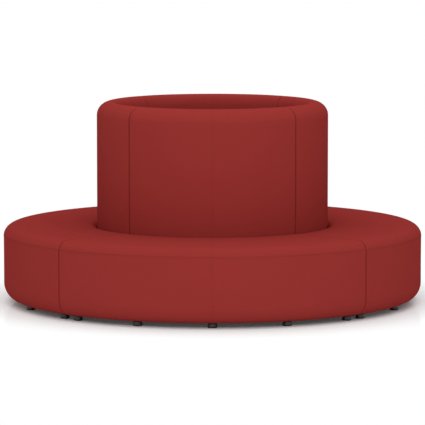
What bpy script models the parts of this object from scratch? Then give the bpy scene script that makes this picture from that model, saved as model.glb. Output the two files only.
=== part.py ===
"""Round sofa: four upholstered quarter-ring modules, ganged into a ring with a tall back around an open well.

Each module is a glued plywood seat carcass and back carcass, each padded with foam and pulled into
a sewn cover, closed below by a dust cover, and stood on seven screw-in levelling feet.
Steel ganging plates, clamped by the feet beside each joint, hold neighbouring modules together.

Metres, +Z up, origin on the floor at the centre of the ring. The front module faces -Y.
"""

from math import asin, cos, pi, radians, sin, tau

import bmesh
import bpy
from mathutils import Matrix

# Driving dimensions of the sofa
SEAT_OUTER_RADIUS = 1.143
BACK_OUTER_RADIUS = 0.630
BACK_THICKNESS = 0.120
SEAT_HEIGHT = 0.424
BACK_HEIGHT = 1.096
UNDERSIDE_HEIGHT = 0.0265

# The ring and its modules, in the order that a turn about +Z brings them
MODULES = ("front", "right", "rear", "left")
MODULE_ANGLE = tau / len(MODULES)
ARC_STEPS = 8
JOINT_GAP = 0.0003

# Clearances
FIT_GAP = 0.0003
SEAT_TO_BACK_GAP = 0.0005
OVERRUN = 0.010

# Facets of the rounded edges, and the angle above which an edge stays sharp
OUTER_EDGE_STEPS = 3
INNER_EDGE_STEPS = 2
SHARP_ANGLE = radians(35)

# Sewn covers
COVER_THICKNESS = 0.002
END_EDGE_RADIUS = 0.012
SEAT_OUTER_TOP_RADIUS = 0.064
SEAT_OUTER_BOTTOM_RADIUS = 0.066
SEAT_INNER_TOP_RADIUS = 0.045
SEAT_CROWN = 0.006
CROWN_SHARES = (0.3, 0.7)
BOXING_SEAM_DROP = 0.048
SEAM_WIDTH = 0.005
SEAM_DEPTH = 0.0012
BACK_OUTER_TOP_RADIUS = 0.074
BACK_INNER_TOP_RADIUS = 0.040
OUTER_STAPLE_FLANGE = 0.015
INNER_STAPLE_FLANGE = 0.035
END_STAPLE_FLANGE = 0.040
SEAT_TUCK_DEPTH = 0.085
BACK_TUCK_DEPTH = 0.100

# Foam
SEAT_TOP_FOAM = 0.072
BACK_TOP_FOAM = 0.062
BACK_OUTER_FOAM = 0.030
BACK_INNER_FOAM = 0.015
END_FOAM = 0.012

# Seat carcass, in plywood
BOTTOM_PANEL_THICKNESS = 0.018
DECK_THICKNESS = 0.015
OUTER_WALL_THICKNESS = 0.008
INNER_WALL_THICKNESS = 0.012
RIB_THICKNESS = 0.015
MIDDLE_RIB_ANGLE = radians(14.5)
RIB_HOLE_RADIUS = 0.080
BREATHER_RADIUS = 0.020

# Back carcass, in plywood
BACK_SKIN_THICKNESS = 0.006
BACK_PLATE_THICKNESS = 0.018
BACK_LEG_WALL_THICKNESS = 0.012
BACK_RIB_HOLE_RADIUS = 0.018
BACK_RIB_HOLE_SHARES = (0.35, 0.8)

# Levelling feet: a moulded pad with a boss, on an M8 stud that screws into the bottom panel
OUTER_FOOT_INSET = 0.0915
INNER_FOOT_INSET = 0.065
FOOT_TO_JOINT = 0.0515
MIDDLE_FOOT_ANGLE = radians(21.7)
INNER_FOOT_ANGLE = radians(33.0)
PAD_RADIUS = 0.0250
PAD_TOP_RADIUS = 0.0235
BOSS_RADIUS = 0.0095
STUD_RADIUS = 0.0040
STUD_TOP_CLEARANCE = 0.0006
STUD_BORE_RADIUS = 0.0050
FOOT_SIDES = 10
HOLE_SIDES = 8
BORE_SIDES = 6

# Ganging plates and dust covers
PLATE_WIDTH = 0.040
PLATE_THICKNESS = 0.0032
PLATE_HOLE_CLEARANCE = 0.0012
PLATE_END_STEPS = 6
DUST_COVER_THICKNESS = 0.001
STUD_HOLE_CLEARANCE = 0.0025

# Sizes that follow from those above
HALF_ANGLE = MODULE_ANGLE / 2
BACK_INNER_RADIUS = BACK_OUTER_RADIUS - BACK_THICKNESS
OUTER_FOOT_CIRCLE_RADIUS = SEAT_OUTER_RADIUS - OUTER_FOOT_INSET
INNER_FOOT_CIRCLE_RADIUS = BACK_INNER_RADIUS + INNER_FOOT_INSET
JOINT_FACE = JOINT_GAP / 2
SEAT_INNER_RADIUS = BACK_OUTER_RADIUS + SEAT_TO_BACK_GAP
FOAM_INSET = COVER_THICKNESS + FIT_GAP
FOAM_END_FACE = JOINT_FACE + FOAM_INSET + END_FOAM
CARCASS_END_FACE = FOAM_END_FACE + FIT_GAP
PANEL_BOTTOM = UNDERSIDE_HEIGHT + FOAM_INSET
PANEL_TOP = PANEL_BOTTOM + BOTTOM_PANEL_THICKNESS
DECK_TOP = SEAT_HEIGHT - FOAM_INSET - SEAT_TOP_FOAM - FIT_GAP
DECK_BOTTOM = DECK_TOP - DECK_THICKNESS
CARCASS_OUTER_RADIUS = SEAT_OUTER_RADIUS - SEAT_OUTER_BOTTOM_RADIUS
BACK_CARCASS_INNER_RADIUS = BACK_INNER_RADIUS + FOAM_INSET + BACK_INNER_FOAM + FIT_GAP
BACK_CARCASS_OUTER_RADIUS = BACK_OUTER_RADIUS - FOAM_INSET - BACK_OUTER_FOAM - FIT_GAP
BACK_CARCASS_BOTTOM = PANEL_TOP + FIT_GAP
BACK_CARCASS_TOP = BACK_HEIGHT - FOAM_INSET - BACK_TOP_FOAM - FIT_GAP
BACK_TUCK_HEIGHT = SEAT_HEIGHT - BACK_TUCK_DEPTH
BACK_LEG_TOP = BACK_TUCK_HEIGHT - FIT_GAP
SEAT_CARCASS_INNER_RADIUS = SEAT_INNER_RADIUS + FOAM_INSET + BACK_SKIN_THICKNESS
BACK_LEG_OUTER_RADIUS = SEAT_CARCASS_INNER_RADIUS - FIT_GAP
SEAT_TUCK_HEIGHT = SEAT_HEIGHT - SEAT_TUCK_DEPTH
OUTER_FLANGE_RADIUS = CARCASS_OUTER_RADIUS - OUTER_STAPLE_FLANGE
INNER_FLANGE_RADIUS = BACK_INNER_RADIUS + INNER_STAPLE_FLANGE
END_FLANGE_FACE = JOINT_FACE + END_STAPLE_FLANGE
END_FOOT_ANGLE = HALF_ANGLE - asin(FOOT_TO_JOINT / OUTER_FOOT_CIRCLE_RADIUS)
BOSS_TOP = UNDERSIDE_HEIGHT - FIT_GAP
PLATE_BOTTOM = BOSS_TOP - PLATE_THICKNESS
PAD_HEIGHT = PLATE_BOTTOM - FIT_GAP
STUD_TOP = PANEL_TOP - STUD_TOP_CLEARANCE

OUTER_FEET = [
    (OUTER_FOOT_CIRCLE_RADIUS, angle)
    for angle in (-END_FOOT_ANGLE, -MIDDLE_FOOT_ANGLE, 0, MIDDLE_FOOT_ANGLE, END_FOOT_ANGLE)
]
INNER_FEET = [(INNER_FOOT_CIRCLE_RADIUS, angle) for angle in (-INNER_FOOT_ANGLE, INNER_FOOT_ANGLE)]

FULL_ARC = (-HALF_ANGLE, HALF_ANGLE)
BAYS = (
    (-HALF_ANGLE, CARCASS_END_FACE + RIB_THICKNESS, -MIDDLE_RIB_ANGLE, RIB_THICKNESS / 2),
    (-MIDDLE_RIB_ANGLE, RIB_THICKNESS / 2, MIDDLE_RIB_ANGLE, RIB_THICKNESS / 2),
    (MIDDLE_RIB_ANGLE, RIB_THICKNESS / 2, HALF_ANGLE, CARCASS_END_FACE + RIB_THICKNESS),
)


# Places in a module
def place(radius, angle, height=0.0):
    """A point at an angle from the module's centre line, which runs along -Y."""
    return (radius * sin(angle), -radius * cos(angle), height)


def arc_points(centre_r, centre_z, radius, start, end, steps):
    """Points of a circular arc in the (r, z) plane, both ends included."""
    turn = [start + (end - start) * k / steps for k in range(steps + 1)]
    return [(centre_r + radius * cos(a), centre_z + radius * sin(a)) for a in turn]


# Outlines of the cross-sections, as (r, z) points anticlockwise
def box_outline(inner, outer, bottom, top):
    return [(inner, bottom), (outer, bottom), (outer, top), (inner, top)]


def seat_outline(inset, base_inset, crown_share=0, groove=0):
    """The seat's section drawn in by inset, with rounded edges and a crowned top.

    The boxing seam is a groove in the rounded top edge, at the same angle for every inset.
    """
    inner = SEAT_INNER_RADIUS + inset
    outer = SEAT_OUTER_RADIUS - inset
    bottom = UNDERSIDE_HEIGHT + base_inset
    top = SEAT_HEIGHT - inset
    low = SEAT_OUTER_BOTTOM_RADIUS - inset
    high = SEAT_OUTER_TOP_RADIUS - inset
    near = SEAT_INNER_TOP_RADIUS - inset
    seam = asin(1 - BOXING_SEAM_DROP / SEAT_OUTER_TOP_RADIUS)
    half_seam = SEAM_WIDTH / 2 / SEAT_OUTER_TOP_RADIUS
    edge = (outer - high, top - high)
    crown_start, crown_end = outer - high, inner + near
    crown = [
        (crown_start + (crown_end - crown_start) * share, top + SEAT_CROWN * crown_share)
        for share in CROWN_SHARES
    ]
    return [
        (inner, bottom),
        *arc_points(outer - low, bottom + low, low, -pi / 2, 0, OUTER_EDGE_STEPS),
        *arc_points(*edge, high, 0, seam - half_seam, 1),
        *arc_points(*edge, high - groove, seam, seam, 1)[:1],
        *arc_points(*edge, high, seam + half_seam, pi / 2, OUTER_EDGE_STEPS),
        *crown,
        *arc_points(inner + near, top - near, near, pi / 2, pi, INNER_EDGE_STEPS),
    ]


def back_outline(inset, base_inset, _crown_share=0, _groove=0):
    """The back's section drawn in by inset, with its rounded top edge. The back has no crown."""
    inner = BACK_INNER_RADIUS + inset
    outer = BACK_OUTER_RADIUS - inset
    bottom = UNDERSIDE_HEIGHT + base_inset
    top = BACK_HEIGHT - inset
    far = BACK_OUTER_TOP_RADIUS - inset
    near = BACK_INNER_TOP_RADIUS - inset
    return [
        (inner, bottom),
        (outer, bottom),
        *arc_points(outer - far, top - far, far, 0, pi / 2, OUTER_EDGE_STEPS),
        *arc_points(inner + near, top - near, near, pi / 2, pi, INNER_EDGE_STEPS),
    ]


# Solids swept round the ring
def swept(sections):
    """A closed solid through sections, each ((reference angle, offset), outline).

    A section's points lie on the plane that is parallel to the radial plane at the reference
    angle, and that far round from it, so that end faces stay flat.
    """
    mesh = bpy.data.meshes.new("swept")
    shape = bmesh.new()
    rings = []
    for (reference, offset), outline in sections:
        rings.append(
            [shape.verts.new(place(r, reference + asin(offset / r), z)) for r, z in outline]
        )
    count = len(rings[0])
    for near, far in zip(rings, rings[1:]):
        for k in range(count):
            n = (k + 1) % count
            shape.faces.new((near[k], near[n], far[n], far[k]))
    shape.faces.new(rings[0])
    shape.faces.new(rings[-1])
    bmesh.ops.recalc_face_normals(shape, faces=shape.faces)
    shape.to_mesh(mesh)
    shape.free()
    return mesh


def inner_angles(start, end, clear):
    """The shared angles of the ring's facets that lie between two ends, clear of both."""
    step = MODULE_ANGLE / ARC_STEPS
    grid = [step * (k - ARC_STEPS // 2) for k in range(1, ARC_STEPS)]
    return [a for a in grid if start + clear < a < end - clear]


def sector(outline, end_face, start=-HALF_ANGLE, end=HALF_ANGLE, far_face=None):
    """A plain sector of the ring: outline, from end_face round of start to far_face short of end."""
    far_face = end_face if far_face is None else far_face
    clear = asin(max(end_face, far_face) / outline[0][0])
    sections = [((start, end_face), outline)]
    sections += [((angle, 0), outline) for angle in inner_angles(start, end, clear)]
    sections.append(((end, -far_face), outline))
    return swept(sections)


def upholstered(outline_of, inset, groove=0):
    """A whole padded module shape, drawn in by inset, with its end edges rounded.

    The underside stays flat right out to the ends, where the covers are stapled to the panel.
    A groove, where there is one, makes the seams: the boxing seam and the one up the middle.
    """
    radius = END_EDGE_RADIUS - inset
    ends = [
        (JOINT_FACE + inset + radius * (1 - cos(a)), inset + radius * (1 - sin(a)))
        for a in (0, pi / 4, pi / 2)
    ]
    sections = [((-HALF_ANGLE, face), outline_of(draw, inset, 0, groove)) for face, draw in ends]
    for angle in inner_angles(*FULL_ARC, asin(ends[-1][0] / BACK_INNER_RADIUS)):
        outline = outline_of(inset, inset, cos(pi / 2 * angle / HALF_ANGLE), groove)
        if angle or not groove:
            sections.append(((angle, 0), outline))
        else:
            sections.append(((angle, -SEAM_WIDTH / 2), outline))
            sections.append(((angle, 0), outline_of(inset + groove, inset, 1)))
            sections.append(((angle, SEAM_WIDTH / 2), outline))
    for face, draw in reversed(ends):
        sections.append(((HALF_ANGLE, -face), outline_of(draw, inset, 0, groove)))
    return swept(sections)


def rod(radius, length, sides, placing):
    """A prism about +Z from z = 0, put in place by a matrix, for cutting round holes."""
    mesh = bpy.data.meshes.new("rod")
    shape = bmesh.new()
    bmesh.ops.create_cone(
        shape, cap_ends=True, segments=sides, radius1=radius, radius2=radius, depth=length
    )
    bmesh.ops.translate(shape, verts=shape.verts, vec=(0, 0, length / 2))
    bmesh.ops.transform(shape, verts=shape.verts, matrix=placing)
    shape.to_mesh(mesh)
    shape.free()
    return mesh


def carved(base, cutters):
    """The base mesh with every cutter mesh taken away, through Boolean modifiers that are applied."""
    body = bpy.data.objects.new("body", base)
    bpy.context.scene.collection.objects.link(body)
    tools = []
    for cutter in cutters:
        tool = bpy.data.objects.new("cutter", cutter)
        bpy.context.scene.collection.objects.link(tool)
        cut = body.modifiers.new("cut", "BOOLEAN")
        cut.operation = "DIFFERENCE"
        cut.object = tool
        tools.append(tool)
    bpy.context.view_layer.update()
    graph = bpy.context.evaluated_depsgraph_get()
    result = bpy.data.meshes.new_from_object(body.evaluated_get(graph))
    for helper in (body, *tools):
        bpy.data.objects.remove(helper)
    return result


# Pieces of one module
def seat_cover_mesh():
    """A sewn skin over the top, outer side and ends, tucked in behind and stapled underneath."""
    below = UNDERSIDE_HEIGHT - OVERRUN
    flange_opening = box_outline(
        SEAT_INNER_RADIUS - OVERRUN, OUTER_FLANGE_RADIUS, below, PANEL_BOTTOM + OVERRUN
    )
    tuck_opening = box_outline(
        SEAT_INNER_RADIUS - OVERRUN, SEAT_CARCASS_INNER_RADIUS, below, SEAT_TUCK_HEIGHT
    )
    return carved(
        upholstered(seat_outline, 0, SEAM_DEPTH),
        [
            upholstered(seat_outline, COVER_THICKNESS),
            sector(flange_opening, END_FLANGE_FACE),
            sector(tuck_opening, FOAM_END_FACE),
        ],
    )


def seat_foam_mesh():
    """Foam over the deck, down the outer wall and over the ends of the carcass."""
    carcass_space = box_outline(
        SEAT_INNER_RADIUS - OVERRUN,
        CARCASS_OUTER_RADIUS + FIT_GAP,
        UNDERSIDE_HEIGHT - OVERRUN,
        DECK_TOP + FIT_GAP,
    )
    return carved(upholstered(seat_outline, FOAM_INSET), [sector(carcass_space, FOAM_END_FACE)])


def seat_carcass_mesh():
    """The glued plywood box of the seat, whose bottom panel reaches in under the back."""
    outline = [
        (BACK_CARCASS_INNER_RADIUS, PANEL_BOTTOM),
        (CARCASS_OUTER_RADIUS, PANEL_BOTTOM),
        (CARCASS_OUTER_RADIUS, DECK_TOP),
        (SEAT_CARCASS_INNER_RADIUS, DECK_TOP),
        (SEAT_CARCASS_INNER_RADIUS, PANEL_TOP),
        (BACK_CARCASS_INNER_RADIUS, PANEL_TOP),
    ]
    bay_inner = SEAT_CARCASS_INNER_RADIUS + INNER_WALL_THICKNESS
    bay_outer = CARCASS_OUTER_RADIUS - OUTER_WALL_THICKNESS
    bay_middle = (bay_inner + bay_outer) / 2
    bay = box_outline(bay_inner, bay_outer, PANEL_TOP, DECK_BOTTOM)
    cutters = [sector(bay, face, start, end, far) for start, face, end, far in BAYS]
    for start, _, end, _ in BAYS:
        through = Matrix.Translation(place(bay_middle, (start + end) / 2, DECK_BOTTOM - OVERRUN))
        cutters.append(rod(BREATHER_RADIUS, DECK_THICKNESS + 2 * OVERRUN, HOLE_SIDES, through))
    for angle in (-MIDDLE_RIB_ANGLE, MIDDLE_RIB_ANGLE):
        height = (PANEL_TOP + DECK_BOTTOM) / 2
        cutters.append(rib_hole(RIB_HOLE_RADIUS, bay_middle, angle, height))
    for radius, angle in OUTER_FEET + INNER_FEET:
        through = Matrix.Translation(place(radius, angle, PANEL_BOTTOM - OVERRUN))
        length = BOTTOM_PANEL_THICKNESS + 2 * OVERRUN
        cutters.append(rod(STUD_BORE_RADIUS, length, BORE_SIDES, through))
    return carved(sector(outline, CARCASS_END_FACE), cutters)


def rib_hole(hole_radius, radius, angle, height):
    """A rod that passes square through the rib at this angle."""
    length = RIB_THICKNESS + 2 * OVERRUN
    placing = (
        Matrix.Translation(place(radius, angle, height))
        @ Matrix.Rotation(angle, 4, "Z")
        @ Matrix.Rotation(pi / 2, 4, "Y")
        @ Matrix.Translation((0, 0, -length / 2))
    )
    return rod(hole_radius, length, HOLE_SIDES, placing)


def back_cover_mesh():
    """A sewn sleeve over the back: down to the tuck outside, and stapled underneath inside."""
    below = UNDERSIDE_HEIGHT - OVERRUN
    flange_opening = box_outline(
        INNER_FLANGE_RADIUS, BACK_LEG_OUTER_RADIUS, below, PANEL_BOTTOM + OVERRUN
    )
    tuck_opening = box_outline(
        BACK_CARCASS_OUTER_RADIUS, BACK_LEG_OUTER_RADIUS, below, BACK_TUCK_HEIGHT
    )
    return carved(
        upholstered(back_outline, 0, SEAM_DEPTH),
        [
            upholstered(back_outline, COVER_THICKNESS),
            sector(flange_opening, END_FLANGE_FACE),
            sector(tuck_opening, FOAM_END_FACE),
        ],
    )


def back_carcass_outline(gap, bottom):
    """The back carcass's section: a tall box whose legs stand out to meet the seat carcass."""
    return [
        (BACK_CARCASS_INNER_RADIUS - gap, bottom),
        (BACK_LEG_OUTER_RADIUS + gap, bottom),
        (BACK_LEG_OUTER_RADIUS + gap, BACK_LEG_TOP + gap),
        (BACK_CARCASS_OUTER_RADIUS + gap, BACK_LEG_TOP + gap),
        (BACK_CARCASS_OUTER_RADIUS + gap, BACK_CARCASS_TOP + gap),
        (BACK_CARCASS_INNER_RADIUS - gap, BACK_CARCASS_TOP + gap),
    ]


def back_foam_mesh():
    """Foam over both faces, the top and the ends of the back carcass."""
    space = back_carcass_outline(FIT_GAP, UNDERSIDE_HEIGHT - OVERRUN)
    return carved(upholstered(back_outline, FOAM_INSET), [sector(space, FOAM_END_FACE)])


def back_carcass_mesh():
    """The glued plywood box of the back, with bent skins, end ribs and two ribs between."""
    skin, plate = BACK_SKIN_THICKNESS, BACK_PLATE_THICKNESS
    bay_inner = BACK_CARCASS_INNER_RADIUS + skin
    bay_outer = BACK_CARCASS_OUTER_RADIUS - skin
    leg_outer = BACK_LEG_OUTER_RADIUS - BACK_LEG_WALL_THICKNESS
    bay_bottom = BACK_CARCASS_BOTTOM + plate
    bay_top = BACK_CARCASS_TOP - plate
    bay = [
        (bay_inner, bay_bottom),
        (leg_outer, bay_bottom),
        (leg_outer, BACK_LEG_TOP - plate),
        (bay_outer, BACK_LEG_TOP - plate),
        (bay_outer, bay_top),
        (bay_inner, bay_top),
    ]
    bay_middle = (bay_inner + bay_outer) / 2
    cutters = [sector(bay, face, start, end, far) for start, face, end, far in BAYS]
    for start, _, end, _ in BAYS:
        through = Matrix.Translation(
            place(bay_middle, (start + end) / 2, BACK_CARCASS_BOTTOM - OVERRUN)
        )
        cutters.append(rod(BREATHER_RADIUS, plate + 2 * OVERRUN, HOLE_SIDES, through))
    for angle in (-MIDDLE_RIB_ANGLE, MIDDLE_RIB_ANGLE):
        for share in BACK_RIB_HOLE_SHARES:
            height = bay_bottom + (bay_top - bay_bottom) * share
            cutters.append(rib_hole(BACK_RIB_HOLE_RADIUS, bay_middle, angle, height))
    outline = back_carcass_outline(0, BACK_CARCASS_BOTTOM)
    return carved(sector(outline, CARCASS_END_FACE), cutters)


def dust_cover_mesh():
    """Black cloth that closes the underside inside the staple flanges, pierced by the studs."""
    top = PANEL_BOTTOM - FIT_GAP
    bottom = top - DUST_COVER_THICKNESS
    outline = box_outline(
        INNER_FLANGE_RADIUS + FIT_GAP, OUTER_FLANGE_RADIUS - FIT_GAP, bottom, top
    )
    cutters = []
    for radius, angle in OUTER_FEET + INNER_FEET:
        through = Matrix.Translation(place(radius, angle, bottom - OVERRUN))
        length = DUST_COVER_THICKNESS + 2 * OVERRUN
        cutters.append(rod(STUD_RADIUS + STUD_HOLE_CLEARANCE, length, BORE_SIDES, through))
    return carved(sector(outline, END_FLANGE_FACE + FIT_GAP), cutters)


def foot_mesh():
    """One levelling foot, turned about its own axis: pad, boss and stud."""
    profile = [
        (0, 0),
        (PAD_RADIUS, 0),
        (PAD_TOP_RADIUS, PAD_HEIGHT),
        (BOSS_RADIUS, PAD_HEIGHT),
        (BOSS_RADIUS, BOSS_TOP),
        (STUD_RADIUS, BOSS_TOP),
        (STUD_RADIUS, STUD_TOP),
        (0, STUD_TOP),
    ]
    mesh = bpy.data.meshes.new("foot")
    shape = bmesh.new()
    line = [shape.verts.new((x, 0, z)) for x, z in profile]
    edges = [shape.edges.new(pair) for pair in zip(line, line[1:])]
    bmesh.ops.spin(
        shape,
        geom=line + edges,
        cent=(0, 0, 0),
        axis=(0, 0, 1),
        angle=tau,
        steps=FOOT_SIDES,
        use_merge=True,
    )
    bmesh.ops.remove_doubles(shape, verts=shape.verts, dist=FIT_GAP / 10)
    bmesh.ops.recalc_face_normals(shape, faces=shape.faces)
    shape.to_mesh(mesh)
    shape.free()
    return mesh


def ganging_plate_mesh():
    """A steel strip with round ends and two holes that drop over the bosses beside a joint."""
    reach = FOOT_TO_JOINT
    half_width = PLATE_WIDTH / 2
    ends = arc_points(reach, 0, half_width, -pi / 2, pi / 2, PLATE_END_STEPS)
    ends += arc_points(-reach, 0, half_width, pi / 2, 3 * pi / 2, PLATE_END_STEPS)
    mesh = bpy.data.meshes.new("ganging_plate")
    shape = bmesh.new()
    face = shape.faces.new([shape.verts.new((x, y, PLATE_BOTTOM)) for x, y in ends])
    grown = bmesh.ops.extrude_face_region(shape, geom=[face])
    lifted = [v for v in grown["geom"] if isinstance(v, bmesh.types.BMVert)]
    bmesh.ops.translate(shape, verts=lifted, vec=(0, 0, PLATE_THICKNESS))
    bmesh.ops.recalc_face_normals(shape, faces=shape.faces)
    shape.to_mesh(mesh)
    shape.free()
    hole_radius = BOSS_RADIUS + PLATE_HOLE_CLEARANCE
    length = PLATE_THICKNESS + 2 * OVERRUN
    holes = [
        rod(hole_radius, length, FOOT_SIDES, Matrix.Translation((x, 0, PLATE_BOTTOM - OVERRUN)))
        for x in (-reach, reach)
    ]
    return carved(mesh, holes)


# Materials and objects
def material(name, colour, roughness, metallic=0.0):
    made = bpy.data.materials.new(name)
    made.use_nodes = True
    shader = made.node_tree.nodes["Principled BSDF"]
    shader.inputs["Base Color"].default_value = (*colour, 1)
    shader.inputs["Roughness"].default_value = roughness
    shader.inputs["Metallic"].default_value = metallic
    return made


def add_object(name, mesh, finish, parent, location=(0, 0, 0)):
    made = bpy.data.objects.new(name, mesh)
    if not mesh.materials:
        mesh.materials.append(finish)
        mesh.shade_smooth()
        mesh.set_sharp_from_angle(angle=SHARP_ANGLE)
    made.location = location
    made.parent = parent
    bpy.context.scene.collection.objects.link(made)
    return made


def main():
    for old in list(bpy.data.objects):
        bpy.data.objects.remove(old)
    red_cover = material("red_cover", (0.305, 0.030, 0.026), 0.55)
    foam = material("foam", (0.75, 0.68, 0.45), 0.95)
    plywood = material("plywood", (0.55, 0.38, 0.21), 0.7)
    black_cloth = material("black_cloth", (0.02, 0.02, 0.02), 0.9)
    black_nylon = material("black_nylon", (0.015, 0.015, 0.015), 0.45)
    zinc_steel = material("zinc_steel", (0.55, 0.56, 0.58), 0.4, 1.0)
    module_pieces = [
        ("seat_carcass", seat_carcass_mesh(), plywood),
        ("seat_foam", seat_foam_mesh(), foam),
        ("seat_cover", seat_cover_mesh(), red_cover),
        ("back_carcass", back_carcass_mesh(), plywood),
        ("back_foam", back_foam_mesh(), foam),
        ("back_cover", back_cover_mesh(), red_cover),
        ("dust_cover", dust_cover_mesh(), black_cloth),
    ]
    foot = foot_mesh()
    plate = ganging_plate_mesh()
    plate_radius = OUTER_FOOT_CIRCLE_RADIUS * cos(HALF_ANGLE - END_FOOT_ANGLE)
    for turn, module in enumerate(MODULES):
        hub = bpy.data.objects.new(f"{module}_module", None)
        hub.rotation_euler.z = MODULE_ANGLE * turn
        bpy.context.scene.collection.objects.link(hub)
        for piece, mesh, finish in module_pieces:
            add_object(f"{module}_{piece}", mesh, finish, hub)
        for number, (radius, angle) in enumerate(OUTER_FEET, 1):
            add_object(f"{module}_foot_{number}", foot, black_nylon, hub, place(radius, angle))
        for number, (radius, angle) in enumerate(INNER_FEET, 1):
            name = f"{module}_inner_foot_{number}"
            add_object(name, foot, black_nylon, hub, place(radius, angle))
        following = MODULES[(turn + 1) % len(MODULES)]
        name = f"ganging_plate_{module}_{following}"
        strip = add_object(name, plate, zinc_steel, hub, place(plate_radius, HALF_ANGLE))
        strip.rotation_euler.z = HALF_ANGLE


main()
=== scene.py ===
# %% [markdown]
# # A round sofa in four upholstered modules
#
# Four quarter-ring modules stand in a ring round an open well, with a low seat outside and a tall
# back inside. The rigid pieces are already modelled at their real size: plywood carcasses, steel
# ganging plates and levelling feet. This script dresses them: padded upholstery, the dust cloth
# and its staples, turned feet, finishes for every surface, a floor, two lamps and a camera.
#
# The first cell loads the rigid model. Nothing in it is moved.

# %% Load the rigid model
from math import asin, cos, pi, radians, sin, tau

import bpy
import numpy as np
from mathutils import Matrix, Vector


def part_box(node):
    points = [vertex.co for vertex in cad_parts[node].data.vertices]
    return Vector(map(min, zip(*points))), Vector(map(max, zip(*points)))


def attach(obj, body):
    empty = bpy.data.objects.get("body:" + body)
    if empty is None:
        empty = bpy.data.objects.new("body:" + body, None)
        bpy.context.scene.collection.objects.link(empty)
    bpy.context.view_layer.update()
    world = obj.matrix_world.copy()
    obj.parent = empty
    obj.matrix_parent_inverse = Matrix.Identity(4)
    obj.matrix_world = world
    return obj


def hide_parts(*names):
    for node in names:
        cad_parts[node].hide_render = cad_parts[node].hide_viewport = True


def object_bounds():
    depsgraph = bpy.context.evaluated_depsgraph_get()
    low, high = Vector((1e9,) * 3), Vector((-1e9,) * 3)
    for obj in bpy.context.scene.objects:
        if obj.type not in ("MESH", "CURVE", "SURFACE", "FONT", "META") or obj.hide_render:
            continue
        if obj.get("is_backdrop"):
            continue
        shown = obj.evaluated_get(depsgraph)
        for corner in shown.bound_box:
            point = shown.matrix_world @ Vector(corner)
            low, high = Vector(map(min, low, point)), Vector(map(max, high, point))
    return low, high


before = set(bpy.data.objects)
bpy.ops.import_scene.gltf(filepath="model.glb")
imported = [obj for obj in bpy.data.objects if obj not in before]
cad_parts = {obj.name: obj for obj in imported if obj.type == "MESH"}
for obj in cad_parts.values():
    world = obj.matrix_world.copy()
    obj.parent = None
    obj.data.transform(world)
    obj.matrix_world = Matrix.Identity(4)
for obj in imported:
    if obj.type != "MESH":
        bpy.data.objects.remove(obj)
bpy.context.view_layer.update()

SOFA = "sofa"
MODULES = ("front", "right", "rear", "left")

# %% [markdown]
# ## Sizes taken from the rigid model
#
# A soft piece fits round rigid ones, so its sizes are read from them. Every piece of the ring
# keeps its corners on true circles about the upright axis. The distance of a node's corners from
# that axis gives its inner and outer radius, and their height says where it starts and ends.

# %% Measure the ring
MILLIMETRES = 1000       # in a metre


def corners(node):
    """All corners of a rigid node, as an array of (x, y, z) rows."""
    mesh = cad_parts[node].data
    points = np.empty(len(mesh.vertices) * 3, np.float32)
    mesh.vertices.foreach_get("co", points)
    return points.reshape(-1, 3).astype(float)


def radii(node, above=-np.inf):
    """Least and greatest distance from the upright axis of a node's corners above a height."""
    points = corners(node)
    points = points[points[:, 2] > above]
    reach = np.hypot(points[:, 0], points[:, 1])
    return float(reach.min()), float(reach.max())


def mm(*lengths_in_metres):
    """Lengths in millimetres, rounded for printing."""
    return [round(float(length) * MILLIMETRES, 2) for length in lengths_in_metres]


SEAT_INNER, SEAT_OUTER = radii("front_seat_cover")
BACK_INNER, BACK_OUTER = radii("front_back_cover")
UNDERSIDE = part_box("front_seat_cover")[0].z
CROWNED_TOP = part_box("front_seat_cover")[1].z
BACK_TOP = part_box("front_back_cover")[1].z
HALF = pi / 4            # a module reaches this far to each side of its own middle

print("radii: seat", mm(SEAT_INNER, SEAT_OUTER), "back", mm(BACK_INNER, BACK_OUTER), "mm")
print("heights:", mm(UNDERSIDE, CROWNED_TOP, BACK_TOP), "mm")

# %% [markdown]
# ## The camera
#
# The photograph was taken with a long lens, from well back and a little above the sofa. A long
# lens keeps the near and the far rim of the seat almost the same width. The place, tilt and focal
# length below were found by matching the outlines of the seat and the back.

# %% Place the camera
CAMERA_DISTANCE = 17.786
CAMERA_HEIGHT = 2.4528
CAMERA_PITCH = radians(-6.297)
CAMERA_LENS = 276.36
CAMERA_SHIFT = (0.0001, -0.0025)
FARTHEST_SIGHT = 400.0

camera = bpy.data.objects.new("camera", bpy.data.cameras.new("camera"))
camera.location = (0, -CAMERA_DISTANCE, CAMERA_HEIGHT)
camera.rotation_euler = (pi / 2 + CAMERA_PITCH, 0, 0)
camera.data.lens = CAMERA_LENS
camera.data.shift_x, camera.data.shift_y = CAMERA_SHIFT
camera.data.clip_end = FARTHEST_SIGHT
bpy.context.scene.collection.objects.link(camera)
bpy.context.scene.camera = camera

print("camera", [round(v, 3) for v in camera.location], "lens", CAMERA_LENS)

# %% [markdown]
# ## Surfaces as grids
#
# Upholstery is a skin that follows a rounded section as it is carried round the ring. A box could
# be bent and subdivided into such a skin, but a grid of points puts a line exactly where a seam or
# a rounded edge needs one: rows run along the section, and columns run round the ring. The faces
# of the grid are given as rows of four corner numbers.
#
# Cloth also has its own flat coordinates, the place of each point on the bolt it was cut from.
# They are kept as a UV map, in metres, and a seam is where they jump. So they belong to the
# corners of the faces, and not to the points that the faces share.

# %% Turn a grid into faces
def grid_cells(rows, columns):
    """Corner numbers of each cell of a grid: (i, j), (i, j + 1), (i + 1, j + 1), (i + 1, j).

    Corner (i, j) is number i × columns + j.
    """
    start = np.arange(rows - 1)[:, None] * columns + np.arange(columns - 1)
    return np.stack([start, start + 1, start + columns + 1, start + columns], axis=-1).reshape(-1, 4)


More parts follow.
